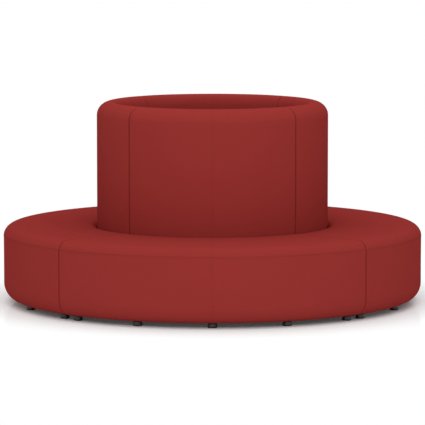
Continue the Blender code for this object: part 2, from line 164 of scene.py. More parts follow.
def cell_corners(grid):
    """The values at the four corners of each cell of a grid, in the order of grid_cells."""
    return np.stack([grid[:-1, :-1], grid[:-1, 1:], grid[1:, 1:], grid[1:, :-1]], axis=2)


def new_mesh(name, points, faces):
    """A mesh of an array of points and a list of faces, each face a list of corner numbers."""
    mesh = bpy.data.meshes.new(name)
    mesh.from_pydata(points.reshape(-1, 3), [], faces)
    return mesh


def add_piece(name, mesh):
    """Links a mesh into the scene as an object at the origin."""
    piece = bpy.data.objects.new(name, mesh)
    bpy.context.scene.collection.objects.link(piece)
    return piece


print("the one cell of a grid of 2 by 2 has the corners", grid_cells(2, 2).tolist())

# %% [markdown]
# ## A closed skin
#
# The section closes on itself, so its last row is joined to its first, and each end of the sweep
# gets one flat face with as many corners as the section has points. The result is a closed solid,
# which a Boolean can cut and cloth can be inflated from.
#
# The seam attribute says how much painted shade each point takes: a darker red laid on where
# seams and joints would shade themselves. The cloth's finish reads it later.

# %% Close a skin
CLOTH_MAP = "cloth"
# the name of the attribute that holds each point's share of painted shade
PAINTED_SHADE_ATTRIBUTE = "seam"


def closed_skin(name, points, cloth=None, ends=None, seam=None):
    """A closed mesh from a (rows, columns, 3) grid: a tube of cells with a flat face on each end.

    cloth gives the flat coordinates of each cell's corners, ends those of the section's points for
    the two end faces, and seam the share of painted shade, a darker red for seams and joints, at each
    point.
    """
    rows, columns = points.shape[:2]
    faces = (grid_cells(rows + 1, columns) % (rows * columns)).tolist()
    first_end = np.arange(rows) * columns
    faces += [first_end.tolist(), (first_end + columns - 1)[::-1].tolist()]
    mesh = new_mesh(name, points, faces)
    if cloth is not None:
        flat = np.concatenate([cloth.reshape(-1, 2), ends, ends[::-1]])
        mesh.uv_layers.new(name=CLOTH_MAP).data.foreach_set("uv", flat.ravel())
        # the seam attribute holds painted shade: a share of darker red that stands in for shade
        mesh.attributes.new(PAINTED_SHADE_ATTRIBUTE, "FLOAT", "POINT").data.foreach_set("value", seam.ravel())
    mesh.validate()
    return mesh


print("a skin carries the map", CLOTH_MAP, "and the attribute", PAINTED_SHADE_ATTRIBUTE)

# %% [markdown]
# ## Sections from runs and arcs
#
# A section is drawn in the (radius, height) plane, from straight runs and arcs. Each of its points
# also says which way it moves when the section is drawn in at the rounded end of a module:
# straight inwards on the sides and top, and only sideways along the underside, which stays flat
# where the cover is stapled.
#
# Points lie close together where the surface turns, and closest at a seam, so that every groove
# is real geometry without a needlessly heavy mesh.

# %% Draw runs and arcs
def run(start, end, spacing):
    """Evenly spaced rows from start, with end left out: start + share × (end − start)."""
    length = np.hypot(end[0] - start[0], end[1] - start[1])
    share = np.linspace(0, 1, max(1, round(length / spacing)), endpoint=False)[:, None]
    return np.array(start) + share * (np.array(end) - np.array(start))


def arc(centre, width, rise, start, end, spacing, low=0.0):
    """Rows round part of an ellipse, with its end left out.

    The point is centre + (width × cosine, rise × sine), and it is drawn in along
    (cosine, sine + low).
    """
    length = (width + rise) / 2 * abs(end - start)
    turn = np.linspace(start, end, max(1, round(length / spacing)), endpoint=False)
    cosine, sine = np.cos(turn), np.sin(turn)
    return np.stack([centre[0] + width * cosine, centre[1] + rise * sine, cosine, sine + low], axis=1)


HIDDEN_SPACING = 0.040   # under the module and where it leans on its neighbour
WALL_SPACING = 0.009
ROLL_SPACING = 0.0045
SEAM_SPACING = 0.0012

print("spacings", mm(HIDDEN_SPACING, WALL_SPACING, ROLL_SPACING, SEAM_SPACING), "mm")

# %% [markdown]
# ## The seat's section
#
# The seat is a boxed pad. A side band, the boxing, goes round the outside, and a top panel is sewn
# to it along the boxing seam, which runs about 5 cm below the top of the roll. The lower roll is
# pulled under to the staples, so it is taller than it is wide. A bevelled box would give both rolls
# as parts of circles only. The section starts at the inner bottom corner and goes round
# anticlockwise, so the boxing comes first and the top panel after it.

# %% Draw the seat's section
SEAT_TOP = 0.424
SEAT_OUTER_TOP_RADIUS = 0.058
SEAT_OUTER_BOTTOM_WIDTH = 0.070
SEAT_OUTER_BOTTOM_RISE = 0.086
SEAT_INNER_TOP_RADIUS = 0.045
BOXING_SEAM_DROP = 0.048
BOXING_SEAM_TURN = asin(1 - BOXING_SEAM_DROP / SEAT_OUTER_TOP_RADIUS)
FINE_TURN = 0.25         # radians of the roll above the seam with closely spaced points


def seat_section():
    """The seat's section as rows (radius, height, draw in r, draw in z), and two row numbers.

    They are the row on the boxing seam and the row where the top roll meets the flat of the seat.
    """
    low, high, near = SEAT_OUTER_BOTTOM_RISE, SEAT_OUTER_TOP_RADIUS, SEAT_INNER_TOP_RADIUS
    foot = (SEAT_OUTER - SEAT_OUTER_BOTTOM_WIDTH, UNDERSIDE + low)
    shoulder = (SEAT_OUTER - high, SEAT_TOP - high)
    inside = (SEAT_INNER + near, SEAT_TOP - near)
    boxing = np.concatenate([
        run((SEAT_INNER, UNDERSIDE, -1, 0), (foot[0], UNDERSIDE, 0, 0), HIDDEN_SPACING),
        arc(foot, SEAT_OUTER_BOTTOM_WIDTH, low, -pi / 2, 0, ROLL_SPACING, low=1.0),
        run((SEAT_OUTER, foot[1], 1, 1), (SEAT_OUTER, shoulder[1], 1, 0), WALL_SPACING),
        arc(shoulder, high, high, 0, BOXING_SEAM_TURN, SEAM_SPACING),
    ])
    roll = np.concatenate([
        arc(shoulder, high, high, BOXING_SEAM_TURN, BOXING_SEAM_TURN + FINE_TURN, SEAM_SPACING),
        arc(shoulder, high, high, BOXING_SEAM_TURN + FINE_TURN, pi / 2, ROLL_SPACING),
    ])
    flat = np.concatenate([
        run((shoulder[0], SEAT_TOP, 0, 1), (inside[0], SEAT_TOP, 0, 1), WALL_SPACING),
        arc(inside, near, near, pi / 2, pi, ROLL_SPACING),
        run((SEAT_INNER, inside[1], -1, 0), (SEAT_INNER, UNDERSIDE, -1, 0), HIDDEN_SPACING),
    ])
    return np.concatenate([boxing, roll, flat]), len(boxing), len(boxing) + len(roll)


print("seat section", len(seat_section()[0]), "points, seam on row", seat_section()[1])

# %% [markdown]
# ## The back's section
#
# The back wears one sleeve, pulled down over its foam. It has a full roll on the outside. Inside,
# towards the well, the foam is drawn down harder and the edge fades slowly into the wall, so that
# corner is part of an upright ellipse. The ring is tighter there and the covers press on each
# other at the joints, so their edges are drawn in less.

# %% Draw the back's section
BACK_OUTER_TOP_RADIUS = 0.074
BACK_INNER_TOP_WIDTH = 0.044
BACK_INNER_TOP_RISE = 0.066
INNER_DRAW = 0.6         # how far an edge is drawn in on the well's side, as a share of the outside


def back_section():
    """The back's section, anticlockwise from its inner bottom corner, as rows like the seat's."""
    tuck = SEAT_TOP - SEAT_INNER_TOP_RADIUS
    outer = (BACK_OUTER - BACK_OUTER_TOP_RADIUS, BACK_TOP - BACK_OUTER_TOP_RADIUS)
    inner = (BACK_INNER + BACK_INNER_TOP_WIDTH, BACK_TOP - BACK_INNER_TOP_RISE)
    rows = np.concatenate([
        run((BACK_INNER, UNDERSIDE, -1, 0), (BACK_OUTER, UNDERSIDE, 1, 0), HIDDEN_SPACING),
        run((BACK_OUTER, UNDERSIDE, 1, 0), (BACK_OUTER, tuck, 1, 0), HIDDEN_SPACING),
        run((BACK_OUTER, tuck, 1, 0), (BACK_OUTER, outer[1], 1, 0), WALL_SPACING),
        arc(outer, BACK_OUTER_TOP_RADIUS, BACK_OUTER_TOP_RADIUS, 0, pi / 2, ROLL_SPACING),
        run((outer[0], BACK_TOP, 0, 1), (inner[0], BACK_TOP, 0, 1), ROLL_SPACING),
        arc(inner, BACK_INNER_TOP_WIDTH, BACK_INNER_TOP_RISE, pi / 2, pi, ROLL_SPACING),
        run((BACK_INNER, inner[1], -1, 0), (BACK_INNER, UNDERSIDE, -1, 0), WALL_SPACING),
    ])
    rows[:, 2] = np.where(rows[:, 2] < 0, INNER_DRAW * rows[:, 2], rows[:, 2])
    return rows


print("back section", len(back_section()), "points")

# %% [markdown]
# ## Carrying a section round a module
#
# Each module is a quarter of the ring, with flat end faces that meet its neighbours' along a
# joint. The edges round those faces are softly rounded, which together with painted shade there gives
# the dark line at each joint.
# Columns near a joint keep a fixed distance from the joint's plane, columns near the middle seam
# keep a fixed distance from the module's centre plane, and the rest are spread evenly between.

# %% Carry a section round
JOINT_FACE = 0.00001     # half the gap between two modules, whose covers press together
END_EDGE_RADIUS = 0.010
END_EDGE_STEPS = 8
END_ZONE = (0.022, 0.034)
SEAM_ZONE = (0.012, 0.008, 0.005, 0.0035, 0.0025, 0.0016, 0.0008, 0.0)
FILL_COLUMNS = 72

edge_turn = np.linspace(0, pi / 2, END_EDGE_STEPS + 1)
END_OFFSETS = np.concatenate([JOINT_FACE + END_EDGE_RADIUS * (1 - np.cos(edge_turn)), END_ZONE])
END_DRAWS = np.concatenate([END_EDGE_RADIUS * (1 - np.sin(edge_turn)), np.zeros(len(END_ZONE))])


def carried(section):
    """Radius, angle and height of a section carried round a module, each as (rows, columns).

    Radius and height are the section's, less the draw of the column times the row's draw
    direction. The angle is arcsine(offset / radius) from the joint or from the centre plane near
    these, and a straight blend of the two in between. The second half mirrors the first.
    """
    fill = np.linspace(0, 1, FILL_COLUMNS + 2)[1:-1]
    draws = np.concatenate([END_DRAWS, np.zeros(len(fill) + len(SEAM_ZONE))])
    radius = section[:, 0:1] - draws * section[:, 2:3]
    height = section[:, 1:2] - draws * section[:, 3:4]
    near_joint = -HALF + np.arcsin(END_OFFSETS / radius[:, :len(END_OFFSETS)])
    near_seam = -np.arcsin(np.array(SEAM_ZONE) / radius[:, -1:])
    between = near_joint[:, -1:] * (1 - fill) + near_seam[:, :1] * fill
    angle = np.concatenate([near_joint, between, near_seam], axis=1)
    return [np.concatenate([half, sign * half[:, -2::-1]], axis=1)
            for half, sign in ((radius, 1), (angle, -1), (height, 1))]


def in_space(radius, angle, height):
    """Points (radius × sine, −radius × cosine, height), so that angle 0 looks along -Y."""
    return np.stack([radius * np.sin(angle), -radius * np.cos(angle), height], axis=-1)


print("a module has", carried(back_section())[0].shape[1], "columns")

# %% [markdown]
# ## Measures on a grid
#
# Foam and thread push and pull a cover along its own normal, so each grid point needs one. It is
# the cross product of the grid's two directions. The other helpers measure along a section and
# round the ring, and blend softly from 0 to 1.

# %% Work out normals and distances
TINY = 1e-12             # keeps a division by no length away
STAPLED_RISE = 0.002
FREE_RISE = 0.020


def normals(points):
    """Unit normals of a closed-row grid: the cross product of its directions, made unit long."""
    along = np.roll(points, -1, axis=0) - np.roll(points, 1, axis=0)
    across = np.gradient(points, axis=1)
    normal = np.cross(across, along)
    return normal / np.maximum(np.linalg.norm(normal, axis=2, keepdims=True), TINY)


def lengths(section):
    """Distance along the section to each of its points: the running sum of the steps between."""
    steps = np.linalg.norm(np.diff(section[:, :2], axis=0), axis=1)
    return np.concatenate([[0], np.cumsum(steps)])


def smooth_step(x):
    """0 below 0, 1 above 1, and 3x² − 2x³ in between."""
    x = np.clip(x, 0, 1)
    return x * x * (3 - 2 * x)


def ring_distance(radius, angle):
    """Distance round the ring of each column: radius × angle, on the innermost row."""
    return (radius * angle)[0]


def to_joint(across):
    """Distance round the ring from each column to the nearer end of the module."""
    return np.minimum(across - across[0], across[-1] - across)


def above_staples(height):
    """0 on the underside, where the cover is stapled flat, and by a smooth step 1 above it."""
    return smooth_step((height - UNDERSIDE - STAPLED_RISE) / FREE_RISE)


print("a smooth step passes", float(smooth_step(np.array(0.25))), "a quarter of the way")

# %% [markdown]
# ## Foam under pressure
#
# A stuffed cover isn't a geometric form: the foam is cut a little oversize and swells it until the
# cloth is taut. The bulge could be sculpted by hand, but Blender's cloth solver finds it when a
# closed bag is given inner pressure. A coarse copy of the grid is enough, because the swelling is
# broad. Its points are pinned where the real cover is stapled, leans on a neighbour or turns the
# edge of a joint.
#
# Upholstery cloth hardly stretches, so the springs are set much stiffer than the solver's own
# values, which suit a light dress cloth.

# %% Inflate a coarse bag
PRESSURE = 1.2
PRESSURE_FRAMES = 20
STRETCH_STIFFNESS = 1000.0
SHEAR_STIFFNESS = 500.0
BENDING_STIFFNESS = 20.0


def evaluated(piece):
    """A piece as its modifiers leave it."""
    return piece.evaluated_get(bpy.context.evaluated_depsgraph_get())


def inflated(points, held):
    """A closed grid of points after some frames of inner pressure, with the held ones pinned."""
    bag = add_piece("bag", closed_skin("bag", points))
    bag.vertex_groups.new(name="held").add(np.flatnonzero(held).tolist(), 1.0, "REPLACE")
    cloth = bag.modifiers.new("cloth", "CLOTH")
    cloth.settings.vertex_group_mass = "held"
    cloth.settings.use_pressure = True
    cloth.settings.uniform_pressure_force = PRESSURE
    cloth.settings.tension_stiffness = STRETCH_STIFFNESS
    cloth.settings.compression_stiffness = STRETCH_STIFFNESS
    cloth.settings.shear_stiffness = SHEAR_STIFFNESS
    cloth.settings.bending_stiffness = BENDING_STIFFNESS
    cloth.settings.effector_weights.gravity = 0
    cloth.point_cache.frame_end = PRESSURE_FRAMES
    for moment in range(1, PRESSURE_FRAMES + 1):
        bpy.context.scene.frame_set(moment)
    moved = np.empty(points.size, np.float32)
    evaluated(bag).data.vertices.foreach_get("co", moved)
    bpy.data.objects.remove(bag)
    bpy.context.scene.frame_set(1)
    return moved.reshape(points.shape).astype(float)


print("bags get a pressure of", PRESSURE, "for", PRESSURE_FRAMES, "frames")

# %% [markdown]
# The coarse bag's movement is carried back to the fine grid. Straight blends would do it, but they
# leave a crease on each coarse line, and cubics leave none.

# %% Spread values over the fine grid
COARSE_SPACING = 0.020


def kept_lines(at, always):
    """Numbers of the coarse copy's grid lines: those always wanted, and about one per spacing."""
    first = np.flatnonzero(np.diff(np.floor(at / COARSE_SPACING), prepend=-np.inf))
    gap = np.abs(at[first][:, None] - at[always]).min(axis=1)
    return np.union1d(first[gap > COARSE_SPACING / 2], always)


def spread(values, known, at):
    """Values known at some places along axis 0, at all places, by cubics that meet evenly.

    Between two known places, gap apart, with values p and q, slopes m and n and share t of the
    way: p(1 + 2t)(1 − t)² + q t²(3 − 2t) + gap × (m t(1 − t)² − n t²(1 − t)).
    """
    slope = np.gradient(values, known, axis=0)
    upper = np.clip(np.searchsorted(known, at), 1, len(known) - 1)
    lower = upper - 1
    gap = (known[upper] - known[lower])[:, None, None]
    t = (at - known[lower])[:, None, None] / gap
    return (values[lower] * (1 + 2 * t) * (1 - t) ** 2 + values[upper] * t ** 2 * (3 - 2 * t)
            + gap * (slope[lower] * t * (1 - t) ** 2 - slope[upper] * t ** 2 * (1 - t)))


print("coarse lines stand about", mm(COARSE_SPACING), "mm apart")

# %% [markdown]
# Only the movement along the surface's normal counts, and only outwards: the foam behind the cloth
# doesn't let it sink in. So the round outer walls, which the cloth already hoops tightly, stay
# true, while the flat top and the hollow inner wall swell. How far a point may move is capped,
# because the cloth has to stay clear of its neighbours.

# %% Puff a cover out
SWELL_CAP = 0.0035
PINNED = 0.02            # below this freedom a point doesn't move
JOINT_HOLD = 3 * END_EDGE_RADIUS   # a cover comes free over this distance from a joint's edge


def puffed(points, free, along, across, rows):
    """The grid swollen by inner pressure, as far as free (0 to 1) lets it, and by its cap at most.

    An outward movement d becomes cap × hyperbolic tangent(d / cap). rows are always kept lines.
    """
    ends = [0, END_EDGE_STEPS, len(across) - 1 - END_EDGE_STEPS, len(across) - 1]
    free = free * smooth_step((to_joint(across) - END_EDGE_RADIUS) / JOINT_HOLD)
    kept_rows = kept_lines(along, np.array([0, *rows, len(along) - 1]))
    kept_columns = kept_lines(across - across[0], np.array(ends))
    coarse = points[np.ix_(kept_rows, kept_columns)]
    moved = inflated(coarse, free[np.ix_(kept_rows, kept_columns)] < PINNED) - coarse
    outward = np.maximum((moved * normals(coarse)).sum(axis=2, keepdims=True), 0)
    outward = SWELL_CAP * np.tanh(outward / SWELL_CAP)
    fine = spread(outward, along[kept_rows], along)
    fine = spread(fine.swapaxes(0, 1), across[kept_columns], across).swapaxes(0, 1)
    print("swelled", coarse.shape[:2], "points by up to", mm(outward.max()), "mm")
    return points + fine * free[..., None] * normals(points)


print("no point swells by more than", mm(SWELL_CAP), "mm")

# %% [markdown]
# ## Seams and joints
#
# Thread pulls the cloth into a narrow groove between two soft rolls. At the boxing seam the edges
# of both panels are also folded under the top panel, so the cover stands a little proud there and
# turns down more sharply than the roll would.
#
# A groove as narrow as this hardly shades itself under soft light. On the real sofa a seam looks
# darker than that, and a joint between modules darker still. That shade could be painted by
# hand; here it is painted shade in the cloth's colour: each point takes a share of a darker red
# that falls off in a bell with its distance from the thread or the joint.

# %% Sew a groove and a ridge
SEAM_DEPTH = 0.0011
SEAM_WIDTH = 0.0028
SHOULDER = 4             # the groove's shoulders are this many times wider, and shallower
FINE_SEAM = 0.4          # the middle seam's depth, and its shade, as a share of the boxing seam's
RIDGE_HEIGHT = 0.0010
RIDGE_REACH = 0.014
# painted shade: the share of darker red at a seam and at a joint, standing in for their shade
SEAM_PAINTED_SHADE = 0.18
SEAM_PAINTED_SHADE_REACH = 0.006
SEAT_JOINT_PAINTED_SHADE = 1.0
BACK_JOINT_PAINTED_SHADE = 0.65
JOINT_PAINTED_SHADE_REACH = 0.007


def groove(distance):
    """Depth at a distance from the thread: a narrow bell, less a wider and shallower one."""
    narrow = np.exp(-(distance / SEAM_WIDTH) ** 2)
    wide = np.exp(-(distance / (SHOULDER * SEAM_WIDTH)) ** 2)
    return SEAM_DEPTH * (narrow - (wide - narrow) / SHOULDER)


def ridge(distance):
    """Height of the folded edges at a distance from the thread: a peak that falls off evenly."""
    return RIDGE_HEIGHT * np.exp(-distance / RIDGE_REACH)


def painted_seam_shade(distance):
    """Share of painted shade, a darker red, at a distance from a seam: the seam's share × a bell."""
    return SEAM_PAINTED_SHADE * np.exp(-(distance / SEAM_PAINTED_SHADE_REACH) ** 2)


def painted_joint_shade(across, share):
    """Share of painted shade, a darker red, for each column of a module: the joint's share × a bell.
    """
    return share * np.exp(-(to_joint(across) / JOINT_PAINTED_SHADE_REACH) ** 2)


print("groove", mm(groove(np.array(0.0))), "mm deep, ridge", mm(ridge(np.array(0.0))), "mm high")

# %% [markdown]
# ## Room for the carcass
#
# The cover and the foam under it look like one padded form, so one closed mesh stands for both.
# It has to leave room for the plywood carcass inside, and for the open underside that the dust
# cloth closes. Both are cut out with a Boolean, with the carcass's own flat facets, and a hair of
# space all round.

# %% Cut out the carcass
CARCASS_GAP = 0.0003
CAVITY_OVERRUN = 0.010
CARCASS_FACETS = 8


def box_rim(inner, outer, bottom, top):
    """The four (radius, height) corners of a plain box section."""
    return [(inner, bottom), (outer, bottom), (outer, top), (inner, top)]


def cavity(name, outline, end):
    """A faceted sector for cutting: an outline carried round at the carcass's own angles.

    end is the distance between each end face and the joint's plane.
    """
    inner = np.linspace(-HALF, HALF, CARCASS_FACETS + 1)[1:-1]
    rim = np.array(outline)
    limit = HALF - np.arcsin(end / rim[:, :1])
    angle = np.concatenate([-limit, np.broadcast_to(inner, (len(rim), len(inner))), limit], axis=1)
    radius = np.broadcast_to(rim[:, :1], angle.shape)
    height = np.broadcast_to(rim[:, 1:], angle.shape)
    return add_piece(name, closed_skin(name, in_space(radius, angle, height)))


def hollowed(mesh, tools):
    """The mesh with each tool's space taken away by a Boolean, and the tools removed."""
    body = add_piece("body", mesh)
    for tool in tools:
        cut = body.modifiers.new("cut", "BOOLEAN")
        cut.operation = "DIFFERENCE"
        cut.solver = "MANIFOLD"
        cut.object = tool
    bpy.context.view_layer.update()
    result = bpy.data.meshes.new_from_object(evaluated(body))
    for helper in (body, *tools):
        bpy.data.objects.remove(helper)
    return result


print("the carcass gets", mm(CARCASS_GAP), "mm of space")

# %% [markdown]
# ## The cloth's flat coordinates
#
# The threads of the boxing and of the back's sleeve run round the sofa and straight up it, so
# their flat coordinates are the distance round the ring and the distance along the section. The
# top panel is cut flat in one piece, with its threads straight across it. Its flat coordinates are
# its own (x, y), with the roll unrolled outwards. Blender can unwrap a mesh by itself, but it
# doesn't know which way the threads run, and the section already knows its own lengths.

# %% Unroll the cloth
def with_first(grid):
    """A closed grid with its first row repeated as its last."""
    return np.concatenate([grid, grid[:1]])


def unrolled_band(section, radius, angle):
    """Flat coordinates of a band round the ring: (radius × angle, distance along the section)."""
    across = with_first(radius * angle)
    along = lengths(with_first(section))
    return np.stack([across, np.broadcast_to(along[:, None], across.shape)], axis=-1)


def unrolled_top(section, angle, top_row):
    """Flat coordinates of the top panel: flat radius × (sine, −cosine) of the angle.

    The flat radius falls along the section by as much as the section grows, from the row where the
    roll meets the flat of the seat.
    """
    along = lengths(with_first(section))
    flat = (section[top_row, 0] + along[top_row] - along)[:, None]
    turn = with_first(angle)
    return np.stack([flat * np.sin(turn), -flat * np.cos(turn)], axis=-1)


print("unrolled", unrolled_band(back_section(), *carried(back_section())[:2]).shape)

# %% [markdown]
# ## The seat's upholstery
#
# The seat's top crowns towards the middle of each module, where nothing holds it down. It is free
# to swell all round, except underneath and where it leans on the back. Then the seams are sewn:
# the boxing seam round the outside and a fine seam down the middle of the module.

# %% Shape the seat
CROWN_SHARE = 0.5        # the part of the crown that is cut into the foam; pressure gives the rest


def crown(radius, angle, height):
    """Rise of the seat's top: crown × sine across its width × cosine along the module."""
    first = SEAT_INNER + SEAT_INNER_TOP_RADIUS
    last = SEAT_OUTER - SEAT_OUTER_TOP_RADIUS
    across = np.sin(pi * np.clip((radius - first) / (last - first), 0, 1))
    rise = CROWN_SHARE * (CROWNED_TOP - SEAT_TOP) * across * np.cos(angle / HALF * pi / 2)
    return np.where(height > (UNDERSIDE + SEAT_TOP) / 2, rise, 0)


def seat_skin():
    """The seat's closed skin in the front module: crowned, swollen and then sewn."""
    section, seam_row, top_row = seat_section()
    radius, angle, height = carried(section)
    along, across = lengths(section), ring_distance(radius, angle)
    leaning = smooth_step((height - SEAT_TOP + SEAT_INNER_TOP_RADIUS) / SEAT_INNER_TOP_RADIUS)
    leans = radius < SEAT_INNER + SEAT_INNER_TOP_RADIUS
    free = above_staples(height) * np.where(leans, leaning, 1)
    points = in_space(radius, angle, height + crown(radius, angle, height))
    points = puffed(points, free, along, across, [seam_row, top_row])

    boxing = np.broadcast_to(np.abs(along - along[seam_row])[:, None], radius.shape)
    middle = np.abs(radius * angle)
    sewn = smooth_step((to_joint(across) - END_EDGE_RADIUS / 2) / END_EDGE_RADIUS)
    shift = (ridge(boxing) - groove(boxing)) * sewn - FINE_SEAM * groove(middle)
    points += normals(points) * (shift * above_staples(height))[..., None]

    band = cell_corners(unrolled_band(section, radius, angle))
    top = cell_corners(unrolled_top(section, angle, top_row))
    on_top = (np.arange(len(section)) >= seam_row)[:, None, None, None]
    # painted shade along the seams and at the joints, as a share of darker red
    seam = painted_seam_shade(boxing) + FINE_SEAM * painted_seam_shade(middle)
    seam = np.maximum(seam, painted_joint_shade(across, SEAT_JOINT_PAINTED_SHADE))
    return closed_skin("seat_upholstery", points, np.where(on_top, top, band), section[:, :2], seam)


seat = seat_skin()
print("seat skin", len(seat.polygons), "faces")

# %% [markdown]
# The seat's carcass lies low in its foam, so one plain ring section clears its space. A second one
# opens the underside, and leaves the strips of cover that are turned in and stapled.

# %% Make room in the seat
FOAM_END = 0.01445       # foam between the carcass and the end face
FLANGE_END = 0.040       # width of the stapled strip at the ends
OUTER_FLANGE = 0.015     # and along the outside


def seat_tools():
    """The space of the seat's carcass and the open underside, as cutting tools."""
    low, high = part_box("front_seat_carcass")
    outer = radii("front_seat_carcass")[1]
    inner = SEAT_INNER - CAVITY_OVERRUN
    space = box_rim(inner, outer + CARCASS_GAP, low.z - CARCASS_GAP, high.z + CARCASS_GAP)
    opening = box_rim(inner, outer - OUTER_FLANGE, UNDERSIDE - CAVITY_OVERRUN, low.z)
    return [cavity("seat_space", space, FOAM_END), cavity("seat_opening", opening, FLANGE_END)]


seat = hollowed(seat, seat_tools())
print("seat", len(seat.polygons), "faces, maps", [layer.name for layer in seat.uv_layers])

# %% [markdown]
# ## The back's upholstery
#
# The back is shaped in the same way. It swells everywhere but underneath and behind the seat,
# where the two modules' pads press on each other, and it has only the fine seam up its middle.
# The solver leaves a round outer wall true, as said above, but the foam is cut a touch fuller than
# the plain cover, so the wall stands out by that much above the seat.

# %% Shape the back
FREE_ABOVE_SEAT = 0.075
WALL_SWELL = 0.002


def above_seat(height):
    """0 behind the seat, which presses on the back there, and by a smooth step 1 above it."""
    return smooth_step((height - SEAT_TOP + SEAT_INNER_TOP_RADIUS) / FREE_ABOVE_SEAT)


def back_skin():
    """The back's closed skin in the front module: swollen and then sewn up its middle."""
    section = back_section()
    section[:, 0] += WALL_SWELL * np.maximum(section[:, 2], 0) * above_seat(section[:, 1])
    radius, angle, height = carried(section)
    along, across = lengths(section), ring_distance(radius, angle)
    outside = radius > (BACK_INNER + BACK_OUTER) / 2
    free = above_staples(height) * np.where(outside, above_seat(height), 1)
    points = puffed(in_space(radius, angle, height), free, along, across, [])

    middle = np.abs(radius * angle)
    points -= normals(points) * (FINE_SEAM * groove(middle) * above_staples(height))[..., None]
    sleeve = cell_corners(unrolled_band(section, radius, angle))
    outward = smooth_step((radius - BACK_INNER) / (BACK_OUTER - BACK_INNER))
    # painted shade along the middle seam and at the joints on the outside, as a share of darker red
    seam = np.maximum(FINE_SEAM * painted_seam_shade(middle), outward * painted_joint_shade(across, BACK_JOINT_PAINTED_SHADE))
    return closed_skin("back_upholstery", points, sleeve, section[:, :2], seam)


back = back_skin()
print("back skin", len(back.polygons), "faces")

# %% [markdown]
# The back's carcass is a tall box that stands on wide legs behind the seat, so its space is cut
# with a stepped section.

# %% Make room in the back
LEG_DEPTH = 0.100        # the legs reach up to this far below the top of the seat
INNER_FLANGE = 0.035     # width of the stapled strip towards the well


def back_tools():
    """The space of the back's carcass, with its legs, and the open underside, as cutting tools."""
    low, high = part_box("front_seat_carcass")[0].z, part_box("front_back_carcass")[1].z
    inner, leg = radii("front_back_carcass")
    outer = radii("front_back_carcass", high - CARCASS_GAP)[1]
    leg_top = SEAT_TOP - LEG_DEPTH
    space = [
        (inner - CARCASS_GAP, low - CARCASS_GAP), (leg + CAVITY_OVERRUN, low - CARCASS_GAP),
        (leg + CAVITY_OVERRUN, leg_top), (outer + CARCASS_GAP, leg_top),
        (outer + CARCASS_GAP, high + CARCASS_GAP), (inner - CARCASS_GAP, high + CARCASS_GAP),
    ]
    bottom = UNDERSIDE - CAVITY_OVERRUN
    opening = box_rim(BACK_INNER + INNER_FLANGE, leg + CAVITY_OVERRUN, bottom, low)
    return [cavity("back_space", space, FOAM_END), cavity("back_opening", opening, FLANGE_END)]


back = hollowed(back, back_tools())
print("back", len(back.polygons), "faces, maps", [layer.name for layer in back.uv_layers])

# %% [markdown]
# ## Four modules
#
# All four modules are alike, so the front one is copied and each copy is turned by a quarter turn
# more. An Array modifier would keep the four in one piece, and here each module needs its own. The
# turn goes into the mesh, and the object stays at the origin. Each piece is tied to the sofa's
# body and takes the place of the plain cover and foam.

# %% Set up the modules
SHARP = radians(50)


def smoothed(mesh):
    """The mesh with smooth shading, apart from edges sharper than the limit."""
    mesh.shade_smooth()
    mesh.set_sharp_from_angle(angle=SHARP)
    return mesh


def in_each_module(part, mesh):
    """Pieces of the sofa's body, by module: the front one's mesh and three turned copies."""
    pieces = {}
    for quarter, module in enumerate(MODULES):
        copy = mesh.copy()
        copy.name = f"{module}_{part}"
        copy.transform(Matrix.Rotation(quarter * pi / 2, 4, "Z"))
        pieces[module] = add_piece(f"{module}_{part}", copy)
        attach(pieces[module], SOFA)
    return pieces


upholstery = []
for part, mesh in (("seat", smoothed(seat)), ("back", smoothed(back))):
    for module, piece in in_each_module(f"{part}_upholstery", mesh).items():
        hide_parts(f"{module}_{part}_cover", f"{module}_{part}_foam")
        upholstery.append(piece)

print(len(upholstery), "upholstered pieces")

# %% [markdown]
# ## A levelling foot
#
# Each foot is a round pad of black nylon with a boss, moulded round a threaded steel stud. Stacked
# cylinders would come near it, but with knife edges. A turned form is a profile carried round its
# own axis, and a profile is a list of (radius, height) points, so each edge can be shaped. The pad
# gets a rounded lower edge, which turns under into its own shade, and a small rounding on top. The
# coarse rigid foot has neither.

# %% Draw the foot's profile
PAD_TOP_RADIUS = 0.0225
PAD_TOP = 0.0227
PAD_EDGE_WIDTH = 0.0028
PAD_EDGE_RISE = 0.0062
PAD_EDGE_STEPS = 9
PAD_BEVEL = 0.0012
PAD_BEVEL_STEPS = 5
BOSS_RADIUS = 0.0095
BOSS_TOP = 0.0262
BOSS_BEVEL = 0.0004
STUD_RADIUS = 0.004
THREAD_PITCH = 0.00125
THREAD_DEPTH = 0.0006
THREAD_STEP = THREAD_PITCH / 4
THREAD_END = 0.040       # above this the stud is plain, and never leaves the carcass


def rounding(centre, width, rise, start, end, steps):
    """Points round part of an ellipse: centre + (width × cosine, rise × sine)."""
    turn = np.linspace(start, end, steps)
    return np.stack([centre[0] + width * np.cos(turn), centre[1] + rise * np.sin(turn)], axis=1)


